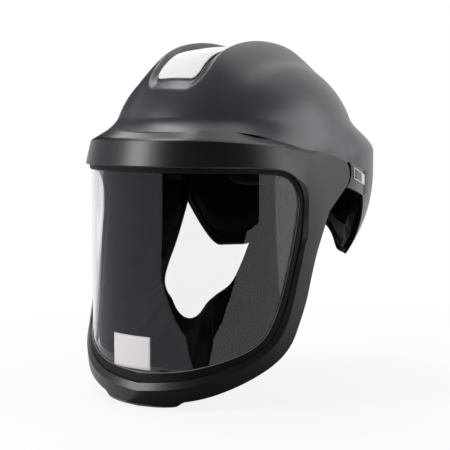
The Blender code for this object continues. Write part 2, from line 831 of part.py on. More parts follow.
def make_face_seal(finish):
    """Fabric from behind the visor's frame to an open edge round the face, from temple to temple."""
    stations = [s for s in ring_stations()[: FRAME_STATIONS + 1] if s[0].y < -0.006]
    opening = spline([Vector(p) for p in FACE_OPENING], 8)
    out = -(LENS_WALL + RETAINER_WALL + 4 * CLEARANCE)
    half = []
    for i, (inner, direction, length, brow) in enumerate(stations):
        flat = inner + 0.004 * direction
        start = visor_point(flat.x, flat.y, out)
        pulled = visor_point(flat.x, flat.y, out - 0.018)
        w, forward, z = along(opening, i / (len(stations) - 1))
        end = Vector((w, -forward, z))
        lean = end.lerp(start, 0.35) + Vector((0.0, 0.010, 0.0))
        row = []
        for k in range(7):
            t = k / 6
            row.append(
                (
                    1 - t
                ) ** 3 * start + 3 * t * (1 - t) ** 2 * pulled + 3 * t * t * (1 - t) * lean + t**3 * end
            )
        half.append(row)
    mirrored = [[Vector((-p.x, p.y, p.z)) for p in row] for row in reversed(half[:-1])]
    mesh = grid_mesh("face_seal", half + mirrored)
    face_away_from(mesh, Vector((0.0, -0.02, -0.05)))
    solidify(add_part("face_seal", mesh, finish), SEAL_WALL)


# The visor's hinge: distances out from the middle of the head along X

NOSE_BACK = VISOR_RADIUS - FRAME_BACK
FLANGE_OUT = NOSE_BACK - CLEARANCE
FLANGE_IN = FLANGE_OUT - PIN_FLANGE_WALL
WASHER_OUT = FLANGE_IN - CLEARANCE
WASHER_IN = WASHER_OUT - WASHER_WALL
BRACKET_OUT = WASHER_IN - CLEARANCE
BRACKET_IN = BRACKET_OUT - BRACKET_WALL
CLIP_OUT = BRACKET_IN - CLEARANCE
CLIP_IN = CLIP_OUT - CLIP_WALL
PIN_END = CLIP_IN - 0.001


def out_along_x(side):
    return Matrix.Rotation(side * math.pi / 2, 4, "Y")


def make_hinge(side, label, pin_finish, washer_finish, bracket_finish, clip_finish):
    turn = out_along_x(side)
    pin = [
        (0.0, FLANGE_OUT),
        (PIN_FLANGE_RADIUS, FLANGE_OUT),
        (PIN_FLANGE_RADIUS, FLANGE_IN),
        (PIN_RADIUS, FLANGE_IN),
        (PIN_RADIUS, PIN_END),
        (0.0, PIN_END),
    ]
    turned_solid("pivot_pin_" + label, pin, pin_finish, 28).matrix_world = turn
    washer = ring_profile(PIN_RADIUS + CLEARANCE, PIN_FLANGE_RADIUS, WASHER_IN, WASHER_OUT)
    turned("friction_washer_" + label, washer, washer_finish, 28).matrix_world = turn
    clip = ring_profile(PIN_RADIUS + 0.5 * CLEARANCE, CLIP_RADIUS, CLIP_IN, CLIP_OUT)
    turned("pivot_clip_" + label, clip, clip_finish, 28).matrix_world = turn
    upper = min(
        side_point(math.radians(a), BRACKET_TOP, SHELL_WALL).x for a in (78.0, 102.0)
    ) - 2 * CLEARANCE
    lower = min(side_point(math.radians(a), 0.026, SHELL_WALL).x for a in (78.0, 102.0)) - 2 * CLEARANCE
    neck = min(lower, BRACKET_IN - 0.0006)
    outline = [
        (upper, BRACKET_TOP),
        (lower, 0.026),
        (neck, 0.011),
        (BRACKET_OUT, 0.0085),
        (BRACKET_OUT, -BRACKET_DROP),
        (BRACKET_IN, -BRACKET_DROP),
        (BRACKET_IN, 0.0088),
        (neck - BRACKET_WALL, 0.0112),
        (lower - BRACKET_WALL, 0.026),
        (upper - BRACKET_WALL, BRACKET_TOP),
    ]
    rows = [
        [Vector((side * x, y, z)) for x, z in outline] for y in (-BRACKET_HALF_LENGTH, BRACKET_HALF_LENGTH)
    ]
    mesh = grid_mesh("pivot_bracket_" + label, rows, close_rows=True, caps=True)
    bracket = add_part("pivot_bracket_" + label, mesh, bracket_finish)
    hole = [(0.0, 0.13), (PIN_RADIUS + CLEARANCE, 0.13), (PIN_RADIUS + CLEARANCE, 0.08), (0.0, 0.08)]
    cutter = turned_solid("pivot_hole_" + label, hole, None, 28, CUTTERS)
    cutter.matrix_world = turn
    cut(bracket, cutter)


def turned_solid(name, profile, finish, steps, collection=PARTS):
    """A turned piece whose profile starts and ends on its axis."""
    mesh = bpy.data.meshes.new(name)
    points = [(r, 0.0, z) for r, z in profile]
    mesh.from_pydata(points, [(i, i + 1) for i in range(len(points) - 1)], [])
    obj = add_part(name, mesh, finish) if collection == PARTS else add_cutter(name, mesh)
    screw = obj.modifiers.new("turn", "SCREW")
    screw.steps = steps
    screw.render_steps = steps
    screw.use_merge_vertices = True
    screw.merge_threshold = 0.00001
    return obj


def skirt_edge(z):
    """Angle of the skirt's front edge at a height."""
    low, high = SKIRT_EDGE_ANGLE, SKIRT_EDGE_ANGLE + 20.0
    for i in range(30):
        middle = 0.5 * (low + high)
        if low_edge(math.radians(middle)) > z:
            low = middle
        else:
            high = middle
    return math.radians(low)


def make_cover(side, label, finish):
    """The fixed cover behind the visor's hinge, between the hinge's nose and the skirt's edge."""
    ring = NOSE_RADIUS + COVER_GAP
    rows = []
    for i in range(9):
        share = i / 8
        polar = math.radians(blend(COVER_START, COVER_END, share))
        front = Vector((ring * math.cos(polar), ring * math.sin(polar)))
        z = blend(BELT_RIM_HEIGHT - COVER_TOP, BELT_RIM_HEIGHT - 0.0270, share)
        rear = side_point(skirt_edge(z) - math.radians(COVER_REAR_GAP), z)
        row = []
        for j in range(6):
            k = j / 5
            x = blend(VISOR_RADIUS + COVER_PROUD, rear.x, k**1.5)
            row.append(Vector((side * x, blend(-front.x, rear.y, k), blend(front.y, z, k))))
        rows.append(row)
    mesh = grid_mesh("side_cover_" + label, rows)
    face_away_from(mesh, HELMET_CENTRE)
    solidify(add_part("side_cover_" + label, mesh, finish), COVER_WALL)


# Head harness


def band_reach(angle):
    return oval(angle, BAND_HALF_WIDTH, BAND_FRONT, 2.0)


def band_plan(inset):
    """Points of the headband's plan from the wearer's right to left."""
    plan = [
        Vector((-(BAND_HALF_WIDTH - inset), BAND_REACH_BACK)),
        Vector((-(BAND_HALF_WIDTH - inset), 0.4 * BAND_REACH_BACK)),
    ]
    for degrees in range(-90, 91, 9):
        angle = math.radians(degrees)
        reach = band_reach(angle) - inset
        plan.append(Vector((reach * math.sin(angle), -reach * math.cos(angle))))
    return plan + [Vector((-p.x, p.y)) for p in reversed(plan[:2])]


def strip(name, outer, inner, low, high, finish):
    """A band of one height between an outer and an inner plan."""
    rows = []
    for a, b in zip(outer, inner):
        rows.append(
            [
                Vector((a.x, a.y, low)), Vector((a.x, a.y, high)), Vector((b.x, b.y, high)),
                Vector((b.x, b.y, low)),
            ]
        )
    return add_part(name, grid_mesh(name, rows, close_rows=True, caps=True), finish)


def cushion(name, backs, fronts, finish):
    """A pad between back and front edges given as (low, high) pairs of points, fuller in its middle."""
    rows = []
    for i, ((b_low, b_high), (f_low, f_high)) in enumerate(zip(backs, fronts)):
        end = min(i, len(backs) - 1 - i)
        swell = [0.35, 0.8, 1.0][min(end, 2)]
        row = [b_low, b_high]
        for share, part in ((1.0, 0.5), (0.82, 0.92), (0.5, 1.0), (0.18, 0.92), (0.0, 0.5)):
            back = b_low.lerp(b_high, share)
            front = f_low.lerp(f_high, share)
            row.append(back.lerp(front, part * swell))
        rows.append(row)
    return add_part(name, grid_mesh(name, rows, close_rows=True, caps=True), finish)


def make_headband(band_finish, pad_finish):
    strip("headband", band_plan(0.0), band_plan(BAND_WALL), BAND_LOW, BAND_HIGH, band_finish)
    inset = BAND_WALL + CLEARANCE
    backs, fronts = [], []
    count = 16
    for i in range(count + 1):
        angle = math.radians(blend(-SWEAT_PAD_ANGLE, SWEAT_PAD_ANGLE, i / count))
        for store, depth in ((backs, inset), (fronts, inset + SWEAT_PAD_WALL)):
            reach = band_reach(angle) - depth
            x, y = reach * math.sin(angle), -reach * math.cos(angle)
            store.append((Vector((x, y, BAND_LOW - 0.001)), Vector((x, y, BAND_HIGH + 0.001))))
    cushion("sweatband", backs, fronts, pad_finish)


def hanger_reach(angle):
    """Distance of a hanger's flat inner face, clear of the headband across its width."""
    spread = math.atan(0.5 * HANGER_WALL / BAND_HALF_WIDTH)
    widest = max(band_reach(angle + turn) * math.cos(turn) for turn in (-spread, 0.0, spread))
    return widest + CLEARANCE


def make_hanger(name, degrees, side, finish):
    """An arm from the shell's inside to a harness strap's foot."""
    angle = math.radians(degrees)
    seat = SHELL_WALL + 2 * CLEARANCE
    spread = math.atan(0.5 * HANGER_WALL / BAND_HALF_WIDTH)
    ends = []
    for z in (0.054, 0.066):
        found = [side_point(angle + turn, z, seat) for turn in (-spread, 0.0, spread)]
        ends.append((min(math.hypot(p.x, p.y) * math.cos(spread) for p in found), found[1].z))
    reach = hanger_reach(angle)
    foot = BAND_LOW + 0.004 if degrees < 90 else STRAP_FOOT - 0.006
    outline = [(reach, foot), *ends, (reach, STRAP_FOOT + 0.008)]
    outward = Vector((side * math.sin(angle), -math.cos(angle), 0.0))
    across = Vector((outward.y, -outward.x, 0.0))
    rows = []
    for half in (-0.5 * HANGER_WALL, 0.5 * HANGER_WALL):
        row = []
        for r, z in outline:
            row.append(r * outward + half * across + Vector((0.0, 0.0, z)))
        rows.append(row)
    mesh = grid_mesh(name, rows, close_rows=True, caps=True)
    add_part(name, mesh, finish)


def make_crown_strap(name, side, crown, finish):
    """A strap from a front hanger over the head to the opposite rear hanger."""
    rows = []
    count = 22
    angle = math.radians(FRONT_HANGER_ANGLE)
    outward = Vector((side * math.sin(angle), -math.cos(angle), 0.0))
    across = Vector((outward.y, -outward.x, 0.0))
    reach = hanger_reach(angle) - CLEARANCE
    base = STRAP_FOOT + 0.004
    path = [(reach, STRAP_FOOT - 0.005)]
    for i in range(count + 1):
        turn = math.pi * i / count
        c, s = math.cos(turn), abs(math.sin(turn))
        path.append((math.copysign(reach * abs(c) ** 0.8, c), base + (crown - base) * s**0.8))
    path.append((-reach, STRAP_FOOT - 0.005))
    for r, z in path:
        centre = r * outward + Vector((0.0, 0.0, z))
        rows.append([centre - 0.5 * STRAP_WIDTH * across, centre + 0.5 * STRAP_WIDTH * across])
    mesh = grid_mesh(name, rows)
    face_away_from(mesh, HELMET_CENTRE)
    solidify(add_part(name, mesh, finish), STRAP_WALL)


def make_crown_pad(finish):
    top = STRAP_CROWN - 2 * STRAP_WALL - 2 * CLEARANCE
    profile = [
        (0.0, top),
        (0.55 * CROWN_PAD_RADIUS, top - 0.0008),
        (0.92 * CROWN_PAD_RADIUS, top - 0.0024),
        (CROWN_PAD_RADIUS, top - 0.55 * CROWN_PAD_WALL),
        (0.90 * CROWN_PAD_RADIUS, top - 0.95 * CROWN_PAD_WALL),
        (0.0, top - CROWN_PAD_WALL),
    ]
    turned_solid("crown_pad", profile, finish, 32)


# Nape cradle: it slides forward and back on the headband's ends as the knob turns

CRADLE_INNER = BAND_HALF_WIDTH + CLEARANCE
CRADLE_MIDDLE = 0.5 * (CRADLE_LOW + CRADLE_HIGH)
BAND_MIDDLE = 0.5 * (BAND_LOW + BAND_HIGH)
CRADLE_BEND = 0.047


def cradle_path():
    """The strap's inner face from left to right: plan point and middle height."""
    path = [
        (Vector((CRADLE_INNER, CRADLE_REACH)), BAND_MIDDLE),
        (Vector((CRADLE_INNER, CRADLE_BEND)), BAND_MIDDLE),
    ]
    depth = CRADLE_BACK - BAND_WALL - CRADLE_BEND
    count = 22
    for i in range(1, count):
        turn = math.pi * i / count
        c, s = math.cos(turn), math.sin(turn)
        x = math.copysign(CRADLE_INNER * abs(c) ** 0.714, c)
        path.append(
            (Vector((x, CRADLE_BEND + depth * s**0.714)), blend(BAND_MIDDLE, CRADLE_MIDDLE, ease(s * 1.15)))
        )
    return path + [(Vector((-p.x, p.y)), z) for p, z in reversed(path[:2])]


def make_cradle(strap_finish, pad_finish):
    path = cradle_path()
    half = 0.5 * (CRADLE_HIGH - CRADLE_LOW) - 0.003
    rows = []
    for i, (point, z) in enumerate(path):
        before, after = path[max(i - 1, 0)][0], path[min(i + 1, len(path) - 1)][0]
        heading = (after - before).normalized()
        normal = Vector((-heading.y, heading.x))
        if normal.dot(
            point - Vector((0.0, CRADLE_BEND))
        ) < 0 or abs(point.x) >= CRADLE_INNER and normal.x * point.x < 0:
            normal = -normal
        out = point + BAND_WALL * normal
        rows.append([
            Vector((point.x, point.y, z - half)),
            Vector((point.x, point.y, z + half)),
            Vector((out.x, out.y, z + half)),
            Vector((out.x, out.y, z - half)),
        ])
    add_part("nape_strap", grid_mesh("nape_strap", rows, close_rows=True, caps=True), strap_finish)
    backs, fronts = [], []
    chosen = [(p, z) for p, z in path if p.y > CRADLE_BACK - 0.020]
    for point, z in chosen:
        inward = Vector((-0.25 * point.x, -0.05)).normalized()
        back = point + 1.5 * CLEARANCE * inward
        front = back + NAPE_PAD_WALL * inward
        for store, p in ((backs, back), (fronts, front)):
            store.append((Vector((p.x, p.y, z - half)), Vector((p.x, p.y, z + half))))
    cushion("nape_pad", backs, fronts, pad_finish)


def box_mesh(name, size):
    made = bmesh.new()
    bmesh.ops.create_cube(made, size=1.0)
    bmesh.ops.scale(made, verts=made.verts, vec=size)
    mesh = bpy.data.meshes.new(name)
    made.to_mesh(mesh)
    made.free()
    return mesh


def make_ratchet(housing_finish, knob_finish, pinion_finish):
    front = CRADLE_BACK + CLEARANCE
    back = front + HOUSING_DEPTH
    centre = Vector((0.0, 0.5 * (front + back), CRADLE_MIDDLE))
    size = (2 * HOUSING_HALF_WIDTH, HOUSING_DEPTH, 2 * HOUSING_HALF_HEIGHT)
    housing = add_part("ratchet_housing", box_mesh("ratchet_housing", size), housing_finish)
    housing.location = centre
    round_edges(housing, 0.002)
    wall = 0.002
    hollow = 2 * (PINION_RADIUS + 0.0016)
    pocket = add_cutter(
        "housing_pocket", box_mesh("housing_pocket", (size[0] - 4 * wall, HOUSING_DEPTH, hollow)),
    )
    pocket.location = centre - Vector((0.0, wall, 0.0))
    cut(housing, pocket)
    shaft = 0.004
    axis = Matrix.Translation((0.0, 0.0, CRADLE_MIDDLE)) @ Matrix.Rotation(-math.pi / 2, 4, "X")
    hole = [
        (0.0, back + 0.004), (shaft + CLEARANCE, back + 0.004), (shaft + CLEARANCE, front), (0.0, front),
    ]
    bore = turned_solid("shaft_hole", hole, None, 24, CUTTERS)
    bore.matrix_world = axis
    cut(housing, bore)
    start = front + 0.0012
    rows = []
    count = 4 * KNOB_LOBES
    stages = [
        (shaft, start, 0.0), (shaft, back + CLEARANCE, 0.0), (KNOB_RADIUS - 0.001, back + CLEARANCE, 1.0),
    ]
    stages += [
        (KNOB_RADIUS, back + 0.002, 1.0), (KNOB_RADIUS, back + KNOB_DEPTH - 0.0015, 1.0),
        (KNOB_RADIUS - 0.002, back + KNOB_DEPTH, 0.5),
    ]
    for radius, y, lobes in stages:
        row = []
        for i in range(count):
            turn = 2 * math.pi * i / count
            r = radius - lobes * KNOB_LOBE_DEPTH * (0.5 - 0.5 * math.cos(KNOB_LOBES * turn))
            row.append(Vector((r * math.cos(turn), y, r * math.sin(turn))))
        rows.append(row)
    knob = add_part(
        "ratchet_knob", grid_mesh("ratchet_knob", rows, close_rows=True, caps=True), knob_finish,
    )
    knob.location = (0.0, 0.0, CRADLE_MIDDLE)
    teeth = 12
    rows = []
    for y in (start + 0.0008, start + 0.0050):
        outer = []
        for i in range(4 * teeth):
            turn = 2 * math.pi * i / (4 * teeth)
            r = PINION_RADIUS + (0.0008 if i % 4 < 2 else -0.0008)
            outer.append(Vector((r * math.cos(turn), y, r * math.sin(turn))))
        rows.append(outer)
    bore_radius = shaft + 0.5 * CLEARANCE
    ring = []
    for row in reversed(rows):
        found = []
        for i, p in enumerate(row):
            turn = 2 * math.pi * i / len(row)
            found.append(Vector((bore_radius * math.cos(turn), p.y, bore_radius * math.sin(turn))))
        ring.append(found)
    pinion = add_part(
        "ratchet_pinion", grid_mesh("ratchet_pinion", rows + ring, close_rows=True, close_columns=True),
        pinion_finish,
    )
    pinion.location = (0.0, 0.0, CRADLE_MIDDLE)


def make_guide(side, label, finish):
    """A loop on the headband's end that the nape strap slides through."""
    place = BAND_REACH_BACK - 0.006
    inner_low = BAND_HALF_WIDTH - BAND_WALL - CLEARANCE
    inner_high = CRADLE_INNER + BAND_WALL + CLEARANCE
    wall = 0.0016
    opening = [
        (inner_low, BAND_LOW - CLEARANCE), (inner_high, BAND_LOW - CLEARANCE),
        (inner_high, BAND_HIGH + CLEARANCE), (inner_low, BAND_HIGH + CLEARANCE),
    ]
    outside = [
        (inner_low - wall, BAND_LOW - CLEARANCE - wall), (inner_high + wall, BAND_LOW - CLEARANCE - wall),
    ]
    outside += [
        (inner_high + wall, BAND_HIGH + CLEARANCE + wall), (inner_low - wall, BAND_HIGH + CLEARANCE + wall),
    ]
    rows = []
    for outline, y in (
        (outside, place - 0.004), (outside, place + 0.004), (opening, place + 0.004),
        (opening, place - 0.004),
    ):
        rows.append([Vector((side * x, y, z)) for x, z in outline])
    add_part(
        "strap_guide_" + label,
        grid_mesh("strap_guide_" + label, rows, close_rows=True, close_columns=True), finish,
    )


def main():
    clear_scene()
    charcoal = material("charcoal moulded shell", (0.06, 0.058, 0.065), 0.5)
    dark = material("black moulded frame", (0.02, 0.02, 0.022), 0.45)
    pale = material("pale crown insert", (0.85, 0.84, 0.86), 0.5)
    rubber = material("black rubber", (0.008, 0.008, 0.009), 0.7)
    clear = material("clear polycarbonate", (0.9, 0.9, 0.92), 0.05, alpha=0.25)
    fabric = material("black seal fabric", (0.01, 0.01, 0.011), 0.9)
    nylon = material("black nylon", (0.03, 0.03, 0.032), 0.55)
    foam = material("grey foam", (0.09, 0.09, 0.095), 0.95)
    steel = material("steel", (0.6, 0.6, 0.6), 0.3, metallic=1.0)
    webbing = material("grey webbing", (0.12, 0.12, 0.125), 0.85)
    shell = make_shell(charcoal)
    make_crown_insert(pale)
    make_crown_duct(nylon)
    make_air_diffuser(nylon)
    make_rear_duct(dark)
    make_inlet(shell, dark, nylon, rubber)
    visor_ring("visor_frame", frame_section, dark)
    visor_ring("lens_gasket", gasket_section, rubber)
    visor_ring("lens_retainer", retainer_section, nylon)
    make_lens(clear)
    make_face_seal(fabric)
    for side, label in ((1, "left"), (-1, "right")):
        make_hinge(side, label, steel, nylon, dark, steel)
        make_cover(side, label, charcoal)
        make_guide(side, label, nylon)
        make_hanger("hanger_front_" + label, FRONT_HANGER_ANGLE, side, nylon)
        make_hanger("hanger_rear_" + label, 180.0 - FRONT_HANGER_ANGLE, side, nylon)
    make_headband(nylon, foam)
    make_crown_strap("crown_strap_upper", 1, STRAP_CROWN, webbing)
    make_crown_strap("crown_strap_lower", -1, STRAP_CROWN - STRAP_WALL - CLEARANCE, webbing)
    make_crown_pad(foam)
    make_cradle(nylon, foam)
    make_ratchet(nylon, dark, steel)


main()
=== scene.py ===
# %% [markdown]
# # A powered air respirator headtop
# A hard helmet carries a clear visor that flips up on two hinges. Hose air comes in at the nape, runs
# over the crown inside the shell and falls behind the visor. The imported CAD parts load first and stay
# where they are: every piece made below either rides on one of their bodies or takes the place of one of
# their nodes.

# %% Load the frame
import json
import math

import bmesh
import bpy
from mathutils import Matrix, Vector

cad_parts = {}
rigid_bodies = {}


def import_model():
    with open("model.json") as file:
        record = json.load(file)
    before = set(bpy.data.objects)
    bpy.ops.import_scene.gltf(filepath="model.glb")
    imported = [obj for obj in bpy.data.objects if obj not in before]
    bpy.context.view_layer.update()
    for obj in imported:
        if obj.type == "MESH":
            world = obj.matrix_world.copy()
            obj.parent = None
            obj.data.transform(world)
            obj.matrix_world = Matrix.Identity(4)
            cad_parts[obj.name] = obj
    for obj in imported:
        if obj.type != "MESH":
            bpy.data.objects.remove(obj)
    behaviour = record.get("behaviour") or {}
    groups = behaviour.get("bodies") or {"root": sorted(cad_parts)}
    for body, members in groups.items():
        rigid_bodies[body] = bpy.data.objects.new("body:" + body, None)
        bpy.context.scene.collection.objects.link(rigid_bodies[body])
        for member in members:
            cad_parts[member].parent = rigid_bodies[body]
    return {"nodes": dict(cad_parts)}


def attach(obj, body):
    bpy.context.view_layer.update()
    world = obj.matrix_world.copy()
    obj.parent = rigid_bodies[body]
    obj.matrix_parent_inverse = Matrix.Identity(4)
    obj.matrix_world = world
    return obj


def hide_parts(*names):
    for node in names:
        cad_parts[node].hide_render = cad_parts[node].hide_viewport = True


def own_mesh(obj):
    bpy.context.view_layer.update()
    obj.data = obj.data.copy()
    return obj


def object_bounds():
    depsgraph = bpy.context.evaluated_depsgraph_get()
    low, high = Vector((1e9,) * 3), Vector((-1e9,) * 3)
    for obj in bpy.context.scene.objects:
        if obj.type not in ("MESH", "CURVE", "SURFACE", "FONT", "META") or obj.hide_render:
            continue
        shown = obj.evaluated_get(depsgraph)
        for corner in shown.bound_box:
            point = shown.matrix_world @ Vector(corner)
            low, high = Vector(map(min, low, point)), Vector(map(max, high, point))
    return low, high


for obj in list(bpy.data.objects):
    bpy.data.objects.remove(obj, do_unlink=True)
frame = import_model()
cad_box = [list(corner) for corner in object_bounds()]
nodes = frame["nodes"]
scene = bpy.context.scene
scene.view_settings.view_transform = "Standard"
print("CAD box", cad_box)

# %% [markdown]
# ## Camera
# The picture is square, so a long lens is set by its focal length over a 36 mm sensor. The camera stands
# to the wearer's left of the face, a little above the hinge line, and looks slightly down.

# %% Camera
VIEW_ANGLE = math.radians(34.0)
VIEW_DISTANCE = 1.216
EYE_HEIGHT = 0.058
AIM_HEIGHT, AIM_SHIFT = -0.053, 0.0086
FOCAL_MM, SENSOR_MM = 102.4, 36.0
right = Vector((math.cos(VIEW_ANGLE), math.sin(VIEW_ANGLE), 0.0))
camera = bpy.data.objects.new("camera", bpy.data.cameras.new("camera"))
camera.location = (VIEW_DISTANCE * math.sin(VIEW_ANGLE), -VIEW_DISTANCE * math.cos(VIEW_ANGLE), EYE_HEIGHT)
aim = Vector((0.0, 0.0, AIM_HEIGHT)) - AIM_SHIFT * right
camera.rotation_euler = (aim - camera.location).to_track_quat("-Z", "Y").to_euler()
camera.data.lens = FOCAL_MM
camera.data.sensor_width = SENSOR_MM
scene.collection.objects.link(camera)
scene.camera = camera
print("camera at", [round(v, 3) for v in camera.location])

# %% [markdown]
# ## Curves and surfaces
# The helmet and the visor are drawn by formula, with the sizes of the CAD parts, so a smooth surface lies
# over the coarse solid. A few sizes were matched to the picture afterwards and differ by some
# millimetres: the scoop's depth at the top, the rim near the hinge, the visor's round end and its brow
# lip. Sculpting could give the same forms, but a formula keeps both sides alike. Angles go round the
# head: 0 is the face, 90 the wearer's left, 180 the nape.

# %% Small curve helpers
def ease(x):
    """Rises from 0 to 1 with level ends."""
    x = min(1.0, max(0.0, x))
    return x * x * (3.0 - 2.0 * x)


def blend(a, b, share):
    """The value that lies a share of the way from a to b."""
    return a + (b - a) * share


def spline(points, steps):
    """Points on a smooth curve through the given ones, so many steps to a stretch."""
    pts = [Vector(p) for p in points]
    ends = [2 * pts[0] - pts[1], *pts, 2 * pts[-1] - pts[-2]]
    found = []
    for a, b, c, d in zip(ends, ends[1:], ends[2:], ends[3:]):
        for i in range(steps):
            t = i / steps
            bend = (2 * a - 5 * b + 4 * c - d) * t**2 + (3 * b - a - 3 * c + d) * t**3
            found.append(0.5 * (2 * b + (c - a) * t + bend))
    return [*found, pts[-1]]


def along(points, share):
    """The point that lies a share of the length along a line of points."""
    lengths = [(b - a).length for a, b in zip(points, points[1:])]
    left = share * sum(lengths)
    for a, b, length in zip(points, points[1:], lengths):
        if left <= length:
            return a.lerp(b, left / length)
        left -= length
    return points[-1].copy()


def lookup(pairs, x):
    """Reads y at x from straight stretches between pairs."""
    for (x0, y0), (x1, y1) in zip(pairs, pairs[1:]):
        if x <= x1:
            return blend(y0, y1, (x - x0) / (x1 - x0))
    return pairs[-1][1]


def oval(angle, half_width, half_length, power):
    """How far a superellipse reaches at an angle."""
    s, c = abs(math.sin(angle)), abs(math.cos(angle))
    return ((s / half_width) ** power + (c / half_length) ** power) ** (-1.0 / power)


# %% Meshes from rows of points
def mesh_piece(name, made, angle=35.0):
    bmesh.ops.recalc_face_normals(made, faces=made.faces)
    mesh = bpy.data.meshes.new(name)
    made.to_mesh(mesh)
    made.free()
    mesh.shade_smooth()
    mesh.set_sharp_from_angle(angle=math.radians(angle))
    piece = bpy.data.objects.new(name, mesh)
    scene.collection.objects.link(piece)
    return piece


def grid_piece(name, rows, ring=False, loop=False, caps=False, angle=35.0):
    made = bmesh.new()
    verts = [[made.verts.new(p) for p in row] for row in rows]
    count = len(rows[0])
    for i in range(len(rows) if loop else len(rows) - 1):
        low, high = verts[i], verts[(i + 1) % len(rows)]
        for j in range(count if ring else count - 1):
            k = (j + 1) % count
            made.faces.new((low[j], low[k], high[k], high[j]))
    if caps:
        made.faces.new(reversed(verts[0]))
        made.faces.new(verts[-1])
    return mesh_piece(name, made, angle)


def face_away(piece, centre=(0.0, 0.0, 0.0)):
    if sum(p.normal.dot(p.center - Vector(centre)) for p in piece.data.polygons) < 0:
        piece.data.flip_normals()


def wall(piece, thickness):
    made = piece.modifiers.new("wall", "SOLIDIFY")
    made.thickness = thickness
    made.offset = -1.0
    made.use_even_offset = True


def round_over(piece, width, angle=30.0, segments=3):
    made = piece.modifiers.new("rounded edges", "BEVEL")
    made.width = width
    made.segments = segments
    made.limit_method = "ANGLE"
    made.angle_limit = math.radians(angle)
    weighted = piece.modifiers.new("even shading", "WEIGHTED_NORMAL")
    weighted.keep_sharp = True


def place(piece, body, slot, material, *replaced):
    piece.data.materials.append(material)
    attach(piece, body)
    if replaced:
        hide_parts(*replaced)
    print(piece.name, "rides on", body, "with", len(piece.data.polygons), "faces")


# %% The helmet's surface
SHELL_WALL = 0.003
CROWN_HEIGHT = 0.112
DOME_HALF_WIDTH, DOME_FRONT, DOME_BACK, DOME_POWER = 0.109, 0.1275, 0.136, 2.35
BELT_HALF_WIDTH, BELT_BACK, BELT_POWER = 0.1115, 0.146, 2.8
BROW_RIM, TEMPLE_RIM, BELT_RIM, FLARE = 0.0375, 0.020, 0.003, 0.0125
SKIRT_DEPTH, SKIRT_DRAW_IN, NAPE_ARCH_RISE = 0.084, 0.20, 0.026
SKIRT_EDGE, SKIRT_LEAN = 117.0, 10.0
HINGE_RIM = -0.007
VISOR_RADIUS, VISOR_FORWARD = 0.114, 0.032
LEDGE_DEPTH, LEDGE_RISE, HINGE_GAP = 0.0124, 0.0055, 0.0009
# Where each change starts round the head, and over how many degrees it goes.
REAR_START, REAR_TURN = 82.0, 34.0
INSET_START, INSET_TURN, FRONT_END = 45.0, 40.0, 100.0
TEMPLE_START, TEMPLE_TURN, HINGE_START = 32.0, 45.0, 76.0
ARCH_START, ARCH_TURN, STEP_TURN = 150.0, 24.0, 2.0
FLARE_START, FLARE_TURN = 42.0, 38.0
SIDE_INSET, SKIRT_TOP, SKIRT_SHORT = 0.006, 0.024, 0.021
LEAN_SHARE, LEAN_POWER, DRAW_POWER = 2.2, 0.7, 2.2
TEMPLE_TOP, REAR_TOP, REAR_LOW = 0.044, 0.048, 0.016


def visor_reach(angle, inset):
    """How far the visor's wall, set in a little, lies from the middle."""
    radius = VISOR_RADIUS - inset
    c, s = math.cos(angle), math.sin(angle)
    reach = VISOR_FORWARD * c + math.sqrt(radius**2 - (VISOR_FORWARD * s) ** 2)
    return reach if reach * c > VISOR_FORWARD else radius / max(s, 0.2)


def rear_share(angle):
    return ease((math.degrees(angle) - REAR_START) / REAR_TURN)


def rim_reach(angle):
    turned = ease((math.degrees(angle) - INSET_START) / INSET_TURN)
    inset = blend(LEDGE_DEPTH + HINGE_GAP, SIDE_INSET, turned)
    front = visor_reach(min(angle, math.radians(FRONT_END)), inset)
    return blend(front, oval(angle, BELT_HALF_WIDTH, BELT_BACK, BELT_POWER), rear_share(angle))


def rim_height(angle):
    degrees = math.degrees(angle)
    brow = blend(BROW_RIM, TEMPLE_RIM, ease((degrees - TEMPLE_START) / TEMPLE_TURN))
    return blend(brow, HINGE_RIM, max(0.0, (degrees - HINGE_START) / (SKIRT_EDGE - HINGE_START)))


def low_edge(angle):
    """The height of the shell's lower edge: brow, hinge step, skirt and nape arch."""
    degrees = math.degrees(angle)
    if degrees <= SKIRT_EDGE:
        return rim_height(angle)
    edge = ease((degrees - SKIRT_EDGE) / (LEAN_SHARE * SKIRT_LEAN)) ** LEAN_POWER
    arch = NAPE_ARCH_RISE * ease((degrees - ARCH_START) / ARCH_TURN)
    skirt = BELT_RIM - SKIRT_TOP - (SKIRT_DEPTH - SKIRT_SHORT) * edge + arch
    return blend(HINGE_RIM, skirt, min(1.0, (degrees - SKIRT_EDGE) / STEP_TURN))


def flare_band(angle):
    rear = rear_share(angle)
    temple = ease((math.degrees(angle) - FLARE_START) / FLARE_TURN)
    top = blend(blend(BROW_RIM + FLARE, TEMPLE_TOP, temple), REAR_TOP, rear)
    return top, blend(rim_height(angle), REAR_LOW, rear)


def dome_plan(angle):
    return oval(angle, DOME_HALF_WIDTH, DOME_FRONT if math.cos(angle) > 0 else DOME_BACK, 2.0)


def side_reach(angle, z):
    top, bottom = flare_band(angle)
    share = min(1.0, max(0.0, (top - z) / (top - bottom)))
    turn = blend(share**2, ease(share), rear_share(angle))
    low = rim_reach(angle)
    if z < 0:
        low *= 1.0 - SKIRT_DRAW_IN * (-z / SKIRT_DEPTH) ** DRAW_POWER
    dome = dome_plan(angle) * (
        1.0 - min(1.0, max(0.0, z) / CROWN_HEIGHT) ** DOME_POWER
    ) ** (1.0 / DOME_POWER)
    return blend(dome, low, turn)


def side_point(angle, z, side=1):
    reach = side_reach(angle, z)
    return Vector((side * reach * math.sin(angle), -reach * math.cos(angle), z))


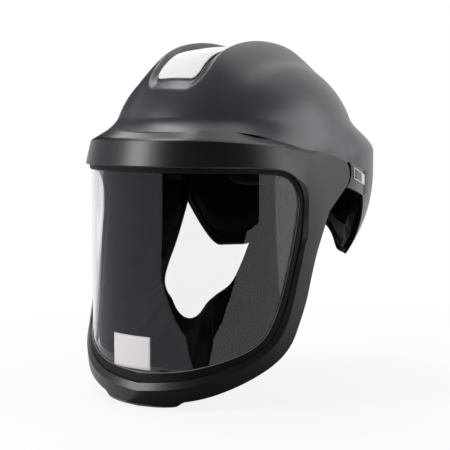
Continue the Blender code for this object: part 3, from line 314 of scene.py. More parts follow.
# %% The crown and its scoop
SCOOP_HALF, SCOOP_FRONT, FRONT_ARCH = 0.0225, 0.0930, 0.0020
SCOOP_BEVEL, FRONT_BEVEL = 0.0090, 0.0120
SCOOP_DEPTH, SCOOP_DEEP, SCOOP_CORNER = 0.0056, 0.0098, 0.006
SWELL_HEIGHT, SWELL_START, SWELL_FLANK = 0.0114, SCOOP_HALF + 0.3 * SCOOP_BEVEL, 0.060
SWELL_FRONT, SWELL_RUN, SWELL_BACK, SWELL_FADE = 0.125, 0.068, 0.112, 0.6
DEEP_START, DEEP_RUN = 0.085, 0.055


def swell_back(forward):
    return ease((forward + SWELL_BACK) / (SWELL_FADE * SWELL_BACK))


def crown_swell(x, forward):
    flank = 1.0 - ease((abs(x) - SWELL_START) / (SWELL_FLANK - SWELL_START))
    return SWELL_HEIGHT * flank * ease((SWELL_FRONT - forward) / SWELL_RUN) * swell_back(forward)


def ramp(share, soft=0.22):
    """A straight rise from 0 to 1 with softened ends."""
    share = min(1.0, max(0.0, share))
    if share > 0.5:
        return 1.0 - ramp(1.0 - share, soft)
    if share < soft:
        return share**2 / (2 * soft * (1 - soft))
    return (share - 0.5 * soft) / (1 - soft)


def scoop_front(x):
    return SCOOP_FRONT + FRONT_ARCH * max(0.0, 1.0 - (x / SCOOP_HALF) ** 2)


def scoop_rise(x, forward):
    """What the two ridges add to the dome's height, less the cut of the scoop."""
    across = abs(x) - SCOOP_HALF + SCOOP_CORNER
    ahead = SCOOP_BEVEL / FRONT_BEVEL * (forward - scoop_front(x)) + SCOOP_CORNER
    outside = math.hypot(max(across, 0.0), max(ahead, 0.0)) + min(max(across, ahead), 0.0) - SCOOP_CORNER
    depth = blend(SCOOP_DEPTH, SCOOP_DEEP, ease((DEEP_START - forward) / DEEP_RUN))
    cut = depth * swell_back(forward) * (1.0 - ramp(outside / SCOOP_BEVEL))
    return crown_swell(x, forward) - cut


def crown_point(x, forward, lift=0.0):
    angle = math.atan2(abs(x), forward)
    share = min(1.0, math.hypot(x, forward) / dome_plan(angle))
    z = CROWN_HEIGHT * (1.0 - share**DOME_POWER) ** (1.0 / DOME_POWER)
    return Vector((x, -forward, z + scoop_rise(x, forward) + lift))


# %% [markdown]
# ## Materials
# One function adds a shader node with its settings and links. Colours are written as the hex values a
# picture editor shows and are turned to linear light here, because shaders add up light, not screen
# values.

# %% Colour and node helpers
def colour(code):
    channels = [int(code[i : i + 2], 16) / 255 for i in (1, 3, 5)]
    linear = [c / 12.92 if c <= 0.04045 else ((c + 0.055) / 1.055) ** 2.4 for c in channels]
    return (*linear, 1.0)


def add_node(tree, kind, settings=(), inputs=(), links=()):
    node = tree.nodes.new(kind)
    for name, value in dict(settings).items():
        setattr(node, name, value)
    for name, value in dict(inputs).items():
        node.inputs[name].default_value = value
    for name, source in dict(links).items():
        tree.links.new(source, node.inputs[name])
    return node


def start_material(name, **sockets):
    made = bpy.data.materials.new(name)
    made.use_nodes = True
    shader = made.node_tree.nodes["Principled BSDF"]
    for socket, value in sockets.items():
        shader.inputs[socket.replace("_", " ")].default_value = value
    return made, made.node_tree, shader


# Noise repeats about once per 1/scale metres, so a grain of so many millimetres has this scale.
def grain(millimetres):
    return 1000.0 / millimetres


DRIFT_MM, GRAIN_BUMP = 45.0, 0.35


def moulded(name, base, light, roughness, spread, grain_mm, depth_mm, mirror=0.5):
    """Injection-moulded plastic with a spark-eroded grain: broken gloss, and a faint drift of tone."""
    made, tree, shader = start_material(name, IOR=1.53, Specular_IOR_Level=mirror)
    where = add_node(tree, "ShaderNodeTexCoord").outputs["Object"]
    fine = add_node(
        tree, "ShaderNodeTexNoise", inputs={"Scale": grain(grain_mm), "Detail": 3.0},
        links={"Vector": where},
    )
    broad = add_node(
        tree, "ShaderNodeTexNoise", inputs={"Scale": grain(DRIFT_MM), "Detail": 2.0},
        links={"Vector": where},
    )
    tone = add_node(
        tree, "ShaderNodeMix", {"data_type": "RGBA"}, {
            6: colour(base), 7: colour(light),
        }, {0: broad.outputs["Fac"]}
    )
    gloss = add_node(
        tree,
        "ShaderNodeMapRange",
        inputs={"To Min": roughness - spread, "To Max": roughness + spread},
        links={"Value": fine.outputs["Fac"]},
    )
    bump = add_node(
        tree, "ShaderNodeBump", inputs={
            "Strength": GRAIN_BUMP, "Distance": depth_mm / 1000,
        }, links={"Height": fine.outputs["Fac"]}
    )
    tree.links.new(tone.outputs[2], shader.inputs["Base Color"])
    tree.links.new(gloss.outputs["Result"], shader.inputs["Roughness"])
    tree.links.new(bump.outputs["Normal"], shader.inputs["Normal"])
    return made


# %% [markdown]
# ### Plastics and rubber
# The shell is a glass-filled nylon with an eroded mould grain of about a quarter of a millimetre, drawn
# here at 0.7 mm so that it shows. The visor frame is the same plastic with a smoother, darker finish.

# %% Plastics and rubber
# Broken gloss: a lamp shows as a wide, soft pale patch.
SHELL = moulded("moulded_glass_filled_nylon_charcoal", "#303038", "#383840", 0.36, 0.06, 0.7, 0.05)
# Darker and a little smoother: narrow streaks of light along the edges.
FRAME = moulded("moulded_nylon_black_satin", "#121013", "#18161a", 0.34, 0.05, 0.6, 0.03, 0.42)
# Painted shade: the shell's nylon made near black for the inside faces and the parts within, which also
# mirror almost nothing.
SHADED_INNER = moulded("moulded_nylon_black", "#08080a", "#0c0c0e", 0.55, 0.06, 0.8, 0.04, 0.06)
# Matt white: the plate reads as one even pale patch.
INSERT = moulded("moulded_abs_white", "#e9e7ea", "#f1eff2", 0.52, 0.05, 0.6, 0.02, 0.3)
# Dull black with a faint sheen.
RUBBER = moulded("moulded_epdm_rubber_black", "#0a090b", "#0f0e11", 0.52, 0.08, 0.9, 0.05, 0.15)
# A pale warm grey with a little gloss.
LABEL = moulded("coated_paper_label", "#d6d1d3", "#dfdadc", 0.5, 0.05, 0.5, 0.01)
print("plastics ready")

# %% [markdown]
# ### Clear visor, fabrics and steel
# The visor is moulded polycarbonate: clear, with an index of 1.585, so it mirrors a little more than
# window glass. The face seal is a coated plain-weave fabric and the pads are brushed tricot over foam.
# Threads of about 0.4 mm are too fine for the picture and are drawn at 1.2 mm.

# %% Clear visor
# It shows what is behind it and a clear mirror image of the studio. A slight smear breaks the gloss.
LENS, tree, shader = start_material(
    "moulded_polycarbonate_clear", Base_Color=colour("#fbfafc"), IOR=1.585, Transmission_Weight=1.0
)
where = add_node(tree, "ShaderNodeTexCoord").outputs["Object"]
smear = add_node(
    tree, "ShaderNodeTexNoise", inputs={"Scale": grain(60.0), "Detail": 4.0}, links={"Vector": where},
)
gloss = add_node(
    tree, "ShaderNodeMapRange", inputs={
        "To Min": 0.0, "To Max": 0.008,
    }, links={"Value": smear.outputs["Fac"]}
)
tree.links.new(gloss.outputs["Result"], shader.inputs["Roughness"])


# %% Woven finishes
# Blender's wave repeats about every 0.3 / scale metres.
WAVE_PERIOD = 0.3
THREAD_DEPTH = 0.0002


def woven(name, base, light, thread_mm, roughness, sheen, bump_strength=0.5):
    """Cloth as crossed waves: the threads give the bump and a slight change of tone."""
    made, tree, shader = start_material(
        name, Roughness=roughness, Sheen_Weight=sheen, Sheen_Roughness=0.5, Specular_IOR_Level=0.15
    )
    where = add_node(tree, "ShaderNodeTexCoord").outputs["Object"]
    waves = []
    for axis in ("X", "Z"):
        made_wave = add_node(
            tree,
            "ShaderNodeTexWave",
            {"bands_direction": axis},
            {
                "Scale": WAVE_PERIOD * grain(thread_mm), "Distortion": 1.5, "Detail": 2.0,
                "Detail Scale": 0.4,
            },
            {"Vector": where},
        )
        waves.append(made_wave.outputs["Fac"])
    cross = add_node(tree, "ShaderNodeMath", {"operation": "MULTIPLY"}, links={0: waves[0], 1: waves[1]})
    tone = add_node(
        tree, "ShaderNodeMix", {"data_type": "RGBA"}, {
            6: colour(base), 7: colour(light),
        }, {0: cross.outputs[0]}
    )
    bump = add_node(
        tree, "ShaderNodeBump", inputs={
            "Strength": bump_strength, "Distance": THREAD_DEPTH,
        }, links={"Height": cross.outputs[0]}
    )
    tree.links.new(tone.outputs[2], shader.inputs["Base Color"])
    tree.links.new(bump.outputs["Normal"], shader.inputs["Normal"])
    return made


# Coated cloth: nearly flat black, with hardly any thread to see.
SEAL = woven("coated_plain_weave_black", "#0b0b0f", "#101015", 1.2, 0.75, 0.06, 0.03)
# Brushed grey cloth, made nearly black as painted shade inside the helmet: matt, with a soft sheen at the
# edges.
PAD = woven("brushed_tricot_grey", "#0d0c0d", "#151416", 1.2, 0.9, 0.10)
# Tape: dark grey, with threads that show.
WEBBING = woven("woven_polyester_tape", "#26262a", "#37373c", 1.4, 0.8, 0.2)
# Bright metal, with a gloss that the turning marks break.
STEEL, tree, shader = start_material("turned_stainless_steel", Base_Color=colour("#b8b7b5"), Metallic=1.0)
where = add_node(tree, "ShaderNodeTexCoord").outputs["Object"]
lathe = add_node(
    tree, "ShaderNodeTexNoise", inputs={"Scale": grain(0.8), "Detail": 2.0}, links={"Vector": where}
)
gloss = add_node(
    tree, "ShaderNodeMapRange", inputs={
        "To Min": 0.22, "To Max": 0.38,
    }, links={"Value": lathe.outputs["Fac"]}
)
tree.links.new(gloss.outputs["Result"], shader.inputs["Roughness"])
print("fabrics and steel ready")

# %% [markdown]
# ## Helmet shell
# The shell is one moulding: a dome with a scoop on its crown, a flare down to the brow, and a skirt round
# the nape. A fine grid covers the crown, so that the ridges run straight, and columns drop from its edge
# to the lower rim. A subdivided cage would be quicker, but it would soften the bevel round the scoop.

# %% Shell
CROWN_WIDE, CROWN_LONG, CROWN_SIDE = 0.070, 0.109, 0.070


def crown_length(x):
    return blend(CROWN_LONG, CROWN_SIDE, (abs(x) / CROWN_WIDE) ** 2)


def column_heights(angle, start):
    top, bottom = flare_band(angle)
    low = low_edge(angle)
    middle = blend(blend(top, low, 0.5), bottom, rear_share(angle))
    heights = [blend(start, top, i / 10) for i in range(1, 11)]
    heights += [blend(top, middle, i / 14) for i in range(1, 15)]
    return heights + [blend(middle, low, i / 16) for i in range(1, 17)]


ACROSS = [CROWN_WIDE * (i / 70 - 1.0) for i in range(141)]
ALONG = [1.0 - i / 90 for i in range(181)]
made = bmesh.new()
crown = [[made.verts.new(crown_point(x, b * crown_length(x))) for x in ACROSS] for b in ALONG]
for low, high in zip(crown, crown[1:]):
    for j in range(len(ACROSS) - 1):
        made.faces.new((low[j], low[j + 1], high[j + 1], high[j]))
edge = crown[0] + [row[-1] for row in crown[1:-1]] + crown[-1][::-1] + [row[0] for row in crown[1:-1]][::-1]
columns = []
for vert in edge:
    angle = math.atan2(abs(vert.co.x), -vert.co.y)
    side = 1 if vert.co.x >= 0 else -1
    column = [vert]
    for z in column_heights(angle, vert.co.z - crown_swell(vert.co.x, -vert.co.y)):
        point = side_point(angle, z, side)
        point.z += crown_swell(point.x, -point.y)
        column.append(made.verts.new(point))
    columns.append(column)
for left, other in zip(columns, columns[1:] + columns[:1]):
    for k in range(len(left) - 1):
        made.faces.new((left[k], left[k + 1], other[k + 1], other[k]))
INLET_HEIGHT, INLET_HOLE = -0.026, 0.0162
inlet = side_point(math.pi, INLET_HEIGHT)
holed = [f for f in made.faces if min((v.co - inlet).length for v in f.verts) < INLET_HOLE]
bmesh.ops.delete(made, geom=holed, context="FACES")
shell = mesh_piece("shell", made, 28.0)
face_away(shell)
wall(shell, SHELL_WALL)
shell.modifiers["wall"].material_offset = 1
shell.modifiers["wall"].material_offset_rim = 1
round_over(shell, 0.0007, 50.0, 2)
# The wall's inner face and rim take the second material, the near-black painted shade of the inside.
place(shell, "helmet", "shell", SHELL, "helmet_shell")
shell.data.materials.append(SHADED_INNER)

# %% [markdown]
# ## Crown insert
# A white plate lies in the scoop between the two ridges. It follows the crown and stands just clear of
# its floor. It could be cut from the shell's mesh, but a grid of its own has straight ribs and a clean
# edge.

# %% Crown insert
PLATE_GAP, PLATE_LIFT, PLATE_BACK, RIB_HEIGHT = 0.0008, 0.0017, -0.060, 0.00010
half, corner = SCOOP_HALF - PLATE_GAP, 0.005
rows = []
for j in range(121):
    row = []
    for i in range(33):
        x = half * (i / 16 - 1.0)
        back = corner - math.sqrt(corner**2 - max(0.0, abs(x) - half + corner) ** 2)
        rib = RIB_HEIGHT * math.sin(math.pi * j / 2.0)
        forward = blend(scoop_front(x) - PLATE_GAP - back, PLATE_BACK, j / 120)
        row.append(crown_point(x, forward, PLATE_LIFT + rib))
    rows.append(row)
insert = grid_piece("crown_plate", rows)
face_away(insert)
wall(insert, 0.0012)
round_over(insert, 0.0004, 50.0, 2)
place(insert, "helmet", "insert", INSERT, "crown_insert")

# %% [markdown]
# ## Visor frame
# The frame is drawn flat, as distance round the face and height, and wrapped on the visor's wall.
# Matching points on the window's edge and the outer edge carry one section: a face, a rounded outer edge,
# and at the brow a ledge that runs back under the shell. A curve with a bevel gives a ring too, but not
# one whose section changes on the way.

# %% Visor outlines
WINDOW = [
    (0.000, 0.003), (0.060, 0.003), (0.112, 0.002), (0.137, -0.003), (0.147, -0.018), (0.146, -0.040),
    (0.134, -0.090), (0.122, -0.124), (0.108, -0.143), (0.084, -0.155), (0.045, -0.166), (0.000, -0.171),
]
BROW = [(0.000, 0.0315), (0.063, 0.0315), (0.121, 0.027), (0.165, 0.0205), (0.192, 0.0188)]
ARM = [
    (0.200, -0.0205), (0.190, -0.029), (0.180, -0.045), (0.169, -0.066), (0.162, -0.086), (0.156, -0.107),
    (0.148, -0.127), (0.137, -0.1475), (0.119, -0.163), (0.090, -0.178), (0.060, -0.189), (0.030, -0.1945),
    (0.0, -0.196),
]
SHARES = [(0.0, 0.0), (0.24, 0.36), (0.36, 0.46), (0.53, 0.54), (0.72, 0.72), (1.0, 1.0)]
NOSE = 0.0135
STATIONS = 190
TAB_HALF, TAB_DROP, TAB_EASE, CHIN_TOP = 0.044, 0.0035, 0.010, -0.15
BROW_END, BROW_FADE = 0.125, 0.045


def visor_point(distance, z, out):
    side = 1.0 if distance >= 0 else -1.0
    reach = VISOR_RADIUS + out
    bend = VISOR_RADIUS * math.pi / 2
    if abs(distance) <= bend:
        angle = abs(distance) / VISOR_RADIUS
        return Vector((side * reach * math.sin(angle), -VISOR_FORWARD - reach * math.cos(angle), z))
    return Vector((side * reach, abs(distance) - bend - VISOR_FORWARD, z))


hinge = VISOR_RADIUS * math.pi / 2 + VISOR_FORWARD
nose_angles = [math.radians(a) for a in range(84, -76, -20)]
nose = [(hinge + NOSE * math.cos(a), NOSE * math.sin(a)) for a in nose_angles]
outer_line = spline([*BROW, *nose, *ARM], 12)
window_line = spline(WINDOW, 12)
stations = []
for i in range(STATIONS + 1):
    inner = along(window_line, lookup(SHARES, i / STATIONS))
    outer = along(outer_line, i / STATIONS)
    length = (outer - inner).length
    brow = 1.0 - ease((outer.x - BROW_END) / BROW_FADE) if outer.y > 0 else 0.0
    tab = ease((TAB_HALF - outer.x) / TAB_EASE) if outer.y < CHIN_TOP else 0.0
    stations.append((inner, (outer - inner) / length, length + tab * TAB_DROP, brow))
left_half = list(stations)
stations += [(Vector((-p.x, p.y)), Vector((-d.x, d.y)), n, b) for p, d, n, b in reversed(stations[1:-1])]
print(len(stations), "stations round the window")


# %% Rings round the window
def visor_ring(name, section, angle=35.0):
    rows = []
    for inner, direction, length, brow in stations:
        flat = [(inner + t * direction, out) for t, out in section(length, brow, abs(inner.x))]
        rows.append([visor_point(p.x, p.y, out) for p, out in flat])
    return grid_piece(name, rows, ring=True, loop=True, angle=angle)


def between(a, b, parts):
    return [(blend(a[0], b[0], i / parts), blend(a[1], b[1], i / parts)) for i in range(1, parts)]


GASKET, FACE, BACK = 0.008, 0.0054, 0.002
LIP, LIP_BACK = 0.0048, 0.0028
BROW_LOW, BROW_HIGH, FRAME_WALL = 0.0050, 0.0004, 0.0026
LEDGE_REACH = LEDGE_DEPTH + 0.0006
LEDGE_EXTRA, EXTRA_START, EXTRA_END, EXTRA_RUN = 0.0022, 0.030, 0.095, 0.030


def frame_section(length, brow, spot):
    fade = 1.0 - ease((spot - EXTRA_END) / EXTRA_RUN)
    rise = LEDGE_RISE + LEDGE_EXTRA * ease((spot - EXTRA_START) / EXTRA_RUN) * fade
    # Each corner is a distance out from the window's edge and a height above the visor's wall.
    band = [
        (GASKET, -BACK), (GASKET, LIP_BACK), (LIP, LIP_BACK), (LIP, BROW_LOW - 0.0004),
        (LIP + 0.0012, BROW_LOW), (length - 0.0014, BROW_HIGH + 0.0002), (length, BROW_HIGH - 0.0012),
        (length + rise, -LEDGE_REACH), (length + rise - FRAME_WALL, -LEDGE_REACH),
        (length - FRAME_WALL, -BACK),
    ]
    arm = [
        (GASKET, -BACK), (GASKET, LIP_BACK), (GASKET, LIP_BACK + 0.0003),
        (GASKET + 0.0005, LIP_BACK + 0.0007), (GASKET + 0.0065, FACE + 0.0002),
        (length - 0.0026, FACE - 0.0008), (length, FACE - 0.0028), (length, -BACK + 0.0012),
        (length - 0.0012, -BACK), (length - 0.004, -BACK),
    ]
    corners = [(blend(a[0], b[0], brow), blend(a[1], b[1], brow)) for a, b in zip(arm, band)]
    face, ledge = between(corners[4], corners[5], 10), between(corners[6], corners[7], 5)
    return corners[:5] + face + corners[5:7] + ledge + corners[7:] + between(corners[9], corners[0], 10)


visor_frame = visor_ring("visor_surround", frame_section)
round_over(visor_frame, 0.0008, 22.0, 3)
place(visor_frame, "visor", "frame", FRAME, "visor_frame")


# %% [markdown]
# ## Gasket and lens edge
# A rubber bead fills the gap between the frame and the lens. Just inside it a fine step on the lens,
# coloured pale grey, is a painted highlight for the thin pale line of light along the lens's edge. That
# step is a reading of the picture, not a known part. Both could be swept along a curve, but the ring that
# carries the frame's section gives them the same path.

# %% Lens gasket
def gasket_section(length, brow, spot):
    outer = GASKET - 0.0003
    return [(0.0, 0.0003), (0.0, 0.0010), (0.0010, 0.0014), (outer, 0.0022), (outer, 0.0003)]


gasket = visor_ring("lens_bead", gasket_section)
round_over(gasket, 0.0004, 22.0, 2)
place(gasket, "visor", "rubber", RUBBER, "lens_gasket")

# %% Lens edge, a painted highlight
# A painted highlight: a thin pale grey line with a sharp gloss along the lens's edge.
EDGE_HIGHLIGHT = moulded("polished_polycarbonate_edge", "#6f6c74", "#7d7a83", 0.22, 0.03, 1.0, 0.0)


def edge_section(length, brow, spot):
    tuck = 0.0020 * brow
    outline = [(-0.0008, 0.0001), (-0.0008, 0.0007), (-0.0003, 0.0011), (0.0002, 0.0007), (0.0002, 0.0001)]
    return [(t + tuck, out * (1.0 - 0.5 * brow)) for t, out in outline]


lens_edge = visor_ring("lens_edge", edge_section)
place(lens_edge, "visor", "lens", EDGE_HIGHLIGHT)

# %% [markdown]
# ## Lens
# The lens is one curved sheet 2 mm thick. A flat sheet could be bent, but columns that end on the
# window's outline give it the right edge at once. That edge is hidden under the gasket.

# %% Lens
LAP, LENS_WALL = 0.006, 0.002
edge = [inner + LAP * direction for inner, direction, length, brow in stations]
reach = max(p.x for p in edge) - 0.0004
rows = []
for i in range(161):
    spot = blend(-reach, reach, i / 160)
    heights = []
    for a, b in zip(edge, edge[1:] + edge[:1]):
        if (a.x - spot) * (b.x - spot) <= 0 and a.x != b.x:
            heights.append(blend(a.y, b.y, (spot - a.x) / (b.x - a.x)))
    levels = [blend(min(heights), max(heights), k / 12) for k in range(13)]
    front = [visor_point(spot, z, 0.0) for z in levels]
    rows.append(front + [visor_point(spot, z, -LENS_WALL) for z in reversed(levels)])
lens = grid_piece("lens_sheet", rows, ring=True, caps=True)
place(lens, "visor", "lens", LENS, "visor_lens")

# %% [markdown]
# ## Bare label
# A small coated-paper label is stuck low on the lens. It carries nothing. It could be part of the lens's
# material, but a thin sheet of its own stands on the surface as paper does.

# %% Label
LABEL_ENDS, LABEL_HEIGHTS, LABEL_OUT = (-0.0321, 0.0112), (-0.1678, -0.1388), 0.0004
levels = [blend(*LABEL_HEIGHTS, k / 8) for k in range(9)]
rows = [[visor_point(blend(*LABEL_ENDS, i / 20), z, LABEL_OUT) for z in levels] for i in range(21)]
label = grid_piece("lens_label", rows)
face_away(label, (0.0, -0.03, -0.08))
wall(label, 0.0002)
place(label, "visor", "insert", LABEL)

# %% [markdown]
# ## Side covers
# Behind each hinge a fixed cover fills the gap between the visor's round nose and the skirt. It is a
# ruled surface from an arc about the hinge to the skirt's front edge, which needs no more than those two
# lines, and then laps over the skirt. The left one has a bare plate with a grey field.

# %% Side covers
def skirt_edge(z):
    low, high = SKIRT_EDGE, SKIRT_EDGE + 20.0
    for step in range(30):
        middle = 0.5 * (low + high)
        low, high = (middle, high) if low_edge(math.radians(middle)) > z else (low, middle)
    return math.radians(low)


COVER_LAP, COVER_TURN, LAP_EASE, LAP_OUT = 0.7, 5.5, 0.1, 0.0007
COVER_FROM, COVER_TO = 142.0, 240.0
COVER_TOP, COVER_LOW, COVER_OUT, COVER_POWER = 0.003, 0.0270, 0.0042, 1.5


def cover_point(side, share, k, out=0.0):
    polar = math.radians(blend(COVER_FROM, COVER_TO, share))
    front = (NOSE + 2 * HINGE_GAP) * Vector((math.cos(polar), math.sin(polar)))
    z = blend(BELT_RIM - COVER_TOP, BELT_RIM - COVER_LOW, share)
    seam = skirt_edge(z)
    rear = side_point(seam, z)
    if k > COVER_LAP:
        lap = ease((k - COVER_LAP) / LAP_EASE)
        over = side_point(seam + math.radians(COVER_TURN * (k - COVER_LAP) / (1.0 - COVER_LAP)), z)
        return Vector((side * (over.x + LAP_OUT * lap + out), over.y, z))
    k /= COVER_LAP
    x = blend(VISOR_RADIUS + COVER_OUT, rear.x, k**COVER_POWER) + out
    return Vector((side * x, blend(-front.x, rear.y, k), blend(front.y, z, k)))


# Name, lowest and highest share down the cover, start and end share across it, stand-off, finish.
PLATES = [
    ("cover_plate_", 0.16, 0.58, 0.10, 0.74, 0.0005, LABEL),
    ("cover_field_", 0.20, 0.54, 0.13, 0.52, 0.0008, SHELL),
]
for side, hand in ((1, "left"), (-1, "right")):
    rows = [[cover_point(side, i / 32, k / 24) for k in range(25)] for i in range(33)]
    cover = grid_piece("hinge_cover_" + hand, rows)
    face_away(cover)
    wall(cover, 0.0032)
    round_over(cover, 0.0006, 50.0, 2)
    place(cover, "helmet", "shell", FRAME, "side_cover_" + hand)
    for name, low, high, start, end, out, finish in PLATES if side > 0 else ():
        rows = [
            [cover_point(side, blend(low, high, i / 8), blend(start, end, k / 8), out) for k in range(9)]
            for i in range(9)
        ]
        plate = grid_piece(name + hand, rows)
        face_away(plate)
        wall(plate, 0.0003)
        place(plate, "helmet", "insert", finish)

# %% [markdown]
# ## Face seal
# A black coated fabric is sewn behind the visor frame and gathers to an elastic edge round the face. It
# starts as a sheet with shallow folds, drawn from the sewn edge to the face opening. Cloth simulation
# with its edges pinned lets it grow a little, so that it sags. Modelling every fold by hand would also
# do, but would look stiff.

# %% Face seal
OPENING = [
    (0.0450, 0.0040, -0.0120), (0.0420, 0.0220, -0.0420), (0.0408, 0.0360, -0.0660),
    (0.0398, 0.0500, -0.0860), (0.0369, 0.0604, -0.1000), (0.0285, 0.0690, -0.1090),
    (0.0205, 0.0715, -0.1165), (0.0165, 0.0724, -0.1225), (0.0115, 0.0728, -0.1285),
    (0.0050, 0.0730, -0.1325), (0.0000, 0.0730, -0.1333),
]
SEWN_TOP, SEWN_IN, SEWN_OUT, PULL_OUT = -0.006, 0.004, -0.0058, -0.0238
LEAN_BACK, LEAN_DEPTH, FOLD_HEIGHT = 0.35, 0.010, 0.0035
FOLD_WAY = Vector((0.3, 0.6, 0.7))
opening = spline(OPENING, 12)
sewn = [s for s in left_half if s[0].y < SEWN_TOP][::2]
half_rows = []
for i, (inner, direction, length, brow) in enumerate(sewn):
    flat = inner + SEWN_IN * direction
    start = visor_point(flat.x, flat.y, SEWN_OUT)
    pulled = visor_point(flat.x, flat.y, PULL_OUT)
    w, forward, z = along(opening, i / (len(sewn) - 1))
    end = Vector((w, -forward, z))
    lean = end.lerp(start, LEAN_BACK) + Vector((0.0, LEAN_DEPTH, 0.0))
    sway = math.sin(0.55 * i + 1.3 * math.sin(0.21 * i)) * FOLD_HEIGHT
    row = []
    for k in range(25):
        t = k / 24
        p = (1 - t) ** 3 * start + 3 * t * (1 - t) ** 2 * pulled + 3 * t * t * (1 - t) * lean + t**3 * end
        fold = sway * math.sin(math.pi * t) * (0.4 + 0.6 * t)
        row.append(p + fold * FOLD_WAY)
    half_rows.append(row)
rows = half_rows + [[Vector((-p.x, p.y, p.z)) for p in row] for row in half_rows[-2::-1]]
seal = grid_piece("face_seal_fabric", rows, angle=180.0)
face_away(seal, (0.0, -0.02, -0.05))
pins = seal.vertex_groups.new(name="sewn edges")
width = len(rows[0])
held = [v.index for v in seal.data.vertices if v.index % width in (0, 1, width - 2, width - 1)]
held += list(range(2 * width)) + list(range(len(seal.data.vertices) - 2 * width, len(seal.data.vertices)))
pins.add(sorted(set(held)), 1.0, "REPLACE")
print("face seal has", len(rows), "rows of", width)

# %% Let the fabric sag
def settle(piece, frames, cap, pressure=0.0, gravity=1.0, shrink=0.0, pinned=""):
    """Runs Blender's cloth on a piece, keeps each point within cap of its start, and applies the result."""
    cloth = piece.modifiers.new("cloth", "CLOTH")
    settings = cloth.settings
    settings.quality = 6
    settings.mass = 0.15
    settings.tension_stiffness = 12.0
    settings.compression_stiffness = 12.0
    settings.bending_stiffness = 0.05
    settings.shrink_min = shrink
    settings.vertex_group_mass = pinned
    settings.use_pressure = pressure > 0
    settings.uniform_pressure_force = pressure
    settings.effector_weights.gravity = gravity
    cloth.point_cache.frame_end = frames
    for step in range(1, frames + 1):
        scene.frame_set(step)
    shaped = piece.evaluated_get(bpy.context.evaluated_depsgraph_get()).to_mesh()
    moved = [v.co.copy() for v in shaped.vertices]
    piece.modifiers.remove(cloth)
    for vert, target in zip(piece.data.vertices, moved):
        step = target - vert.co
        vert.co += step * min(1.0, cap / max(step.length, 1e-9))
    scene.frame_set(1)
    piece.data.update()


settle(seal, 14, 0.008, gravity=0.5, shrink=-0.06, pinned="sewn edges")
# The strip's length is a guess: the sewn edge measures 0.524 m and the rows are 0.075 to 0.088 m deep.
# The area is the settled sheet's own, so it agrees with the mesh by itself and says nothing about the
# real cut.
wall(seal, 0.0012)
place(seal, "visor", "seal_fabric", SEAL, "face_seal")
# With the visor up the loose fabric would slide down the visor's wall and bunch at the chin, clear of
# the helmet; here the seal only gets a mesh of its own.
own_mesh(seal)

# %% [markdown]
# ## Pads and straps
# The brow band, the crown pad and the nape pad are foam in brushed fabric. Each starts from its CAD form,
# is remeshed evenly and blown up a little as cloth, so that its faces crown and its edges stay soft. The
# straps are flat tape: a remesh would erase them, so they keep their CAD form with rounded edges.

# %% Pads
PADS = [
    ("sweatband", "helmet", "brow_pad"),
    ("crown_pad", "helmet", "crown_cushion"),
    ("nape_pad", "cradle", "nape_cushion"),
]
VOXEL = 0.0022
for node, body, name in PADS:
    mesh = nodes[node].data.copy()
    mesh.materials.clear()
    pad = bpy.data.objects.new(name, mesh)
    scene.collection.objects.link(pad)
    remesh = pad.modifiers.new("even", "REMESH")
    remesh.mode = "VOXEL"
    remesh.voxel_size = VOXEL
    pad.data = bpy.data.meshes.new_from_object(pad.evaluated_get(bpy.context.evaluated_depsgraph_get()))
    pad.modifiers.clear()
    pad.data.shade_smooth()
    pad.data.materials.clear()
    settle(pad, 8, 0.0008, pressure=2.0, gravity=0.0, shrink=0.04)
    soften = pad.modifiers.new("soften", "SMOOTH")
    soften.iterations = 4
    place(pad, body, "pad_fabric", PAD, node)

# %% Straps
for node, name in (("crown_strap_upper", "crown_tape_upper"), ("crown_strap_lower", "crown_tape_lower")):
    mesh = nodes[node].data.copy()
    mesh.materials.clear()
    strap = bpy.data.objects.new(name, mesh)
    scene.collection.objects.link(strap)
    strap.data.shade_smooth()
    strap.data.set_sharp_from_angle(angle=math.radians(40.0))
    round_over(strap, 0.0004, 50.0, 2)
    place(strap, "helmet", "webbing", WEBBING, node)

# %% [markdown]
# ## CAD parts that stay
# Ducts, hinges, harness and ratchet keep their solids, because their shapes are right. They could be
# modelled again with rounded edges, but they are hidden in most views, so they only get finishes: most
# take the near-black inside finish, which is painted shade, and the rest those of the real pieces.

# %% Finishes for the CAD parts
# Most parts take the inside finish, a near-black painted shade.
FINISHES = {
    "rear_duct": SHADED_INNER, "hose_inlet": FRAME, "inlet_nut": SHADED_INNER, "inlet_seal": RUBBER,
    "crown_duct": SHADED_INNER, "air_diffuser": SHADED_INNER, "headband": SHADED_INNER, "nape_strap": SHADED_INNER,
    "ratchet_housing": SHADED_INNER, "ratchet_knob": FRAME, "ratchet_pinion": STEEL, "lens_retainer": SHADED_INNER,
}
for name, node in nodes.items():
    if name in FINISHES or name.startswith(("hanger", "strap_guide", "pivot", "friction")):
        finish = FINISHES.get(name, SHADED_INNER)
        if name.startswith(("pivot_pin", "pivot_clip")):
            finish = STEEL
        node.data.materials.clear()
        node.data.materials.append(finish)
print("CAD parts finished")

# %% [markdown]
# ## Studio
# Six soft lamps and white surroundings light the object. The floor and the surroundings look plain white
# to the camera and through glass. What the lens and the gloss mirror is set by cards, as a photographer
# does it: a dark one keeps the middle of the lens clear, white and grey ones give the veils beside it,
# and a dark tent keeps the dome deep.

# %% Floor and surroundings
LOWEST = cad_box[0][2]


